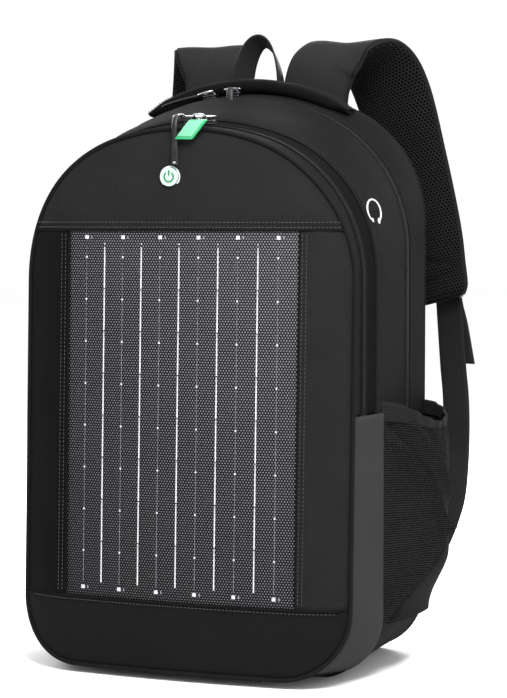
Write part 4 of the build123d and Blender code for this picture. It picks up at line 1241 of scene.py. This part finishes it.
def green_tag():
    """A clear green block with a pale face, on a wire ring."""
    place = ("front_tag", ARC_FRONT, FRONT_ANGLES["right"])
    ring = Lump()
    add_ring(ring, (2.0, -68.0, FRONT_BAIL_Z + 0.5), (0.1, 1, 0.05), (1, 0, 0), 28.0, 9.0)
    add_ring(ring, (6.0, -84.5, FRONT_BAIL_Z - 0.5), (0.1, 1, -0.35), (1, 0, 0.1), 12.0, 9.0)
    turned_piece(ring, "tag_ring", MAT["metal"], *place, "metal", "tag_link")
    down = np.array([-0.60, 0.0, -0.80])
    wide = np.array([1.0, 0.0, 0.03])
    front = np.array([0.05, -0.97, -0.22])
    middle = np.array([8.2, -89.6, FRONT_BAIL_Z - 1.0]) + down * 11.5
    for name, size, push, material, replaced in (
            ("tag_block", (19.5, 15.5, 5.0), (0, 0, 2.2), "green", ["green_tag"]),
            ("tag_face", (15.6, 12.9, 1.4), (-1.6, -1.0, 4.5), "green_face", [])):
        verts, faces = rounded_box(push, size, min(1.3, size[2] * 0.45))
        lump = Lump()
        lump.add(verts @ np.stack([down, wide, front]) + middle, faces)
        turned_piece(lump, name, MAT[material], *place, "tag_plastic", *replaced)


def main_left_pull():
    """A wire ring and a flat moulded cord that lies along the zip."""
    place = ("main_pull_left", ARC_MAIN, MAIN_ANGLES["left"])
    wire = Lump()
    add_ring(wire, (-4.5, 40.0, MAIN_BAIL_Z + 0.6), (1, 0, 0.1), (0, 1, 0), 13.0, 7.0)
    turned_piece(wire, "main_pull_left_ring", MAT["metal"], *place, "metal")
    share = np.linspace(0, 1, 24)
    arc = np.radians(-share * 11.5)
    radius = MAIN_BAIL_Z - ARC_MAIN
    height = ARC_MAIN + radius * np.cos(arc) - 0.8
    path = np.stack([radius * np.sin(arc) - 7.0, 0 * share + 40.0, height], 1)
    wide = 2.0 + 0.8 * smoothstep((share - 0.45) / 0.2)
    cord = Lump()
    cord.add_flat_tube(path, np.stack([0 * share + 1.2, wide, 0 * share + 1.3], 1))
    turned_piece(cord, "main_pull_left_cord", MAT["rubber"], *place, "pull_rubber", "main_pull_left")


def main_right_pull():
    """A wire ring and a short cord that hangs forward over the zip."""
    place = ("main_pull_right", ARC_MAIN, MAIN_ANGLES["right"])
    wire = Lump()
    add_ring(wire, (0.6, 35.0, MAIN_BAIL_Z + 0.6), (0.3, 1, 0), (1, -0.3, 0.1), 14.0, 8.0)
    turned_piece(wire, "main_pull_right_ring", MAT["metal"], *place, "metal")
    path = smooth_line([(1.5, 29.5, 477.8), (3.0, 23.5, 477.0), (4.0, 19.8, 472.5), (4.6, 18.8, 467.5)])
    cord = Lump()
    cord.add_flat_tube(path, (2.9, 1.3, 1.3))
    turned_piece(cord, "main_pull_right_cord", MAT["rubber"], *place, "pull_rubber", "main_pull_right")


# ---------------------------------------------------------------- symbols
def arc_ring(centre, right, up, radius, start, stop, count=40):
    t = np.radians(np.linspace(start, stop, count))
    return centre + (radius * np.cos(t))[:, None] * right + (radius * np.sin(t))[:, None] * up


def power_symbol():
    low, high = box_mm("power_button")
    centre = (low + high) / 2
    centre[1] = low[1] - 0.05
    right, up = np.array([1.0, 0, 0]), np.array([0, 0, 1.0])
    symbol = Lump()
    symbol.add_tube(arc_ring(centre, right, up, 3.9, 128, 412), 0.72)
    symbol.add_tube([centre + up * k for k in np.linspace(0.9, 5.0, 6)], 0.66)
    symbol.finish("power_symbol", MAT["icon_green"], "power_button")


def flat_face(verts):
    """The direction that most of the port's points face, among leans of 5 to 75 degrees, and its reach."""
    most, best, reach = 0, None, 0
    for angle in np.linspace(5, 75, 141):
        n = np.array([math.cos(math.radians(angle)), -0.12, math.sin(math.radians(angle))])
        n /= np.linalg.norm(n)
        depth = verts @ n
        level = np.sum(depth > depth.max() - 0.05)
        if level > most:
            most, best, reach = level, n, depth.max()
    return best, reach


def earphone_symbol():
    """A rubber disc over the port, nearer upright than the CAD's, with a slit and an earphone outline."""
    verts = np.array([v.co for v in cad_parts["earphone_port"].data.vertices]) * 1000
    normal, reach = flat_face(verts)
    face = verts[verts @ normal > reach - 0.05]
    centre = (face.max(0) + face.min(0)) / 2 + np.array([0.6, 0, 0])
    normal = normal * np.array([1.0, 1.0, 0.55]) + np.array([0, -0.12, 0])
    normal /= np.linalg.norm(normal)
    right = np.cross(np.array([0.0, 0.0, 1.0]), normal)
    right /= np.linalg.norm(right)
    up = np.cross(normal, right)
    grommet = Lump()
    disc, faces = ball_template(16, 32)
    disc = disc[:, [1, 0, 2]] @ np.stack([right * 13.4, normal * 2.2, up * 13.4])
    grommet.add(disc + centre - normal * 1.2, faces)
    piece = grommet.finish("port_grommet", MAT["port"])
    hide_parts("earphone_port")
    slit = Lump()
    slit.add_tube([centre + right * k + normal * 0.9 for k in (-5.0, -2.0, 2.0, 5.0)], 0.6)
    slit.finish("port_slit", MAT["tape"])
    symbol = Lump()
    symbol.add_tube(arc_ring(centre + normal * 0.5, right, up, 9.4, -52, 232, 60), 0.75)
    ball, faces = ball_template()
    for sign in (-1, 1):
        cup = centre + right * sign * 4.6 - up * 8.0 + normal * 0.5
        symbol.add(ball @ np.stack([up * 2.6, right * 1.7, normal * 0.7]) + cup, faces)
    symbol.finish("earphone_symbol", MAT["white"])


def finish_cad_nodes():
    """Materials for the CAD nodes that stay."""
    kept = {
        "lining": ("pocket_divider", "laptop_sleeve"),
        "black": ("junction_box", "usb_regulator", "button_switch", "ladder_lock_left", "ladder_lock_right"),
        "rubber": ("panel_lead",),
        "button": ("power_button",),
        "white": ("button_bezel",),
        "binding": ("anchor_tabs",),
    }
    for key, nodes in kept.items():
        for node in nodes:
            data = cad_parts[node].data
            data.materials.clear()
            data.materials.append(MAT[key])


# ---------------------------------------------------------------- stage, in metres
LENS_MM = 111.352
FLOOR_HALF_MM, FLOOR_DROP_MM = 9000.0, 0.3
# Name, place, point lit, width, watts.
LIGHTS = [
    ("key", (0.36, -0.62, 0.98), (0, -0.05, 0.42), 0.4, 17),
    ("top", (0.30, -0.12, 1.25), (0, 0, 0.45), 0.5, 12),
    ("rim", (1.3, -0.5, 0.30), (0.15, -0.05, 0.15), 0.35, 1.8),
    ("back", (-0.2, 1.5, 1.0), (0, 0.1, 0.25), 0.8, 34),
    ("back_left", (-1.3, 0.9, 0.9), (0, 0.1, 0.25), 0.8, 14),
]


def area_light(name, place, target, size, power):
    light = bpy.data.lights.new(name, "AREA")
    light.shape, light.size, light.energy = "DISK", size, power
    lamp = bpy.data.objects.new(name, light)
    lamp.location = place
    lamp.rotation_mode = "QUATERNION"
    lamp.rotation_quaternion = (Vector(target) - Vector(place)).to_track_quat("-Z", "Y")
    bpy.context.scene.collection.objects.link(lamp)


def studio():
    """A white room: a pale floor, a white world and soft lamps."""
    scene = bpy.context.scene
    scene.view_settings.view_transform = "Standard"
    world = bpy.data.worlds.new("studio")
    world.use_nodes = True
    background = world.node_tree.nodes["Background"]
    background.inputs["Color"].default_value = (1, 1, 1, 1)
    background.inputs["Strength"].default_value = 1.02
    scene.world = world
    n = Nodes("floor_paint")
    n.colour(n.noise(n.coords(False), 3.0), [(0.3, (0.96,) * 3), (0.7, (0.98,) * 3)])
    n.set(Roughness=0.9, Specular_IOR_Level=0.1)
    corners = [(x * FLOOR_HALF_MM, y * FLOOR_HALF_MM, -FLOOR_DROP_MM)
               for x, y in ((-1, -1), (1, -1), (1, 1), (-1, 1))]
    make_mesh("floor", corners, [(0, 1, 2, 3)], n.material, smooth=False)
    for light in LIGHTS:
        area_light(*light)


def camera():
    """The photograph's viewpoint: to the right of the front, level with the pack's upper half."""
    azimuth, pitch = math.radians(21.5), math.radians(3.56)
    distance, height, shift_right = 1.799, 0.372, 0.0263
    data = bpy.data.cameras.new("camera")
    data.lens = LENS_MM
    cam = bpy.data.objects.new("camera", data)
    right = Vector((math.cos(azimuth), math.sin(azimuth), 0))
    forward = Vector((-math.sin(azimuth), math.cos(azimuth), 0))
    cam.location = right * shift_right - forward * distance + Vector((0, 0, height))
    view = forward * math.cos(pitch) - Vector((0, 0, math.sin(pitch)))
    cam.rotation_mode = "QUATERNION"
    cam.rotation_quaternion = view.to_track_quat("-Z", "Y")
    bpy.context.scene.collection.objects.link(cam)
    bpy.context.scene.camera = cam


camera()
body_walls(GUSSETS)
side_strips()
body_walls(BASE_WALLS)
zip_line("front_zip", FRONT_ZIP, Y_FZIP_A, Y_FZIP_B, *TOP_RANGE)
zip_line("main_zip", MAIN_ZIP, Y_MZIP_A, Y_MZIP_B, *WALL_RANGE)
seams()
body_stitches()
front_panels()
solar_module()
back_side()
shoulder_straps()
carry_handle()
hang_loop()
yoke()
side_pockets()
hardware()
power_symbol()
earphone_symbol()
finish_cad_nodes()
studio()
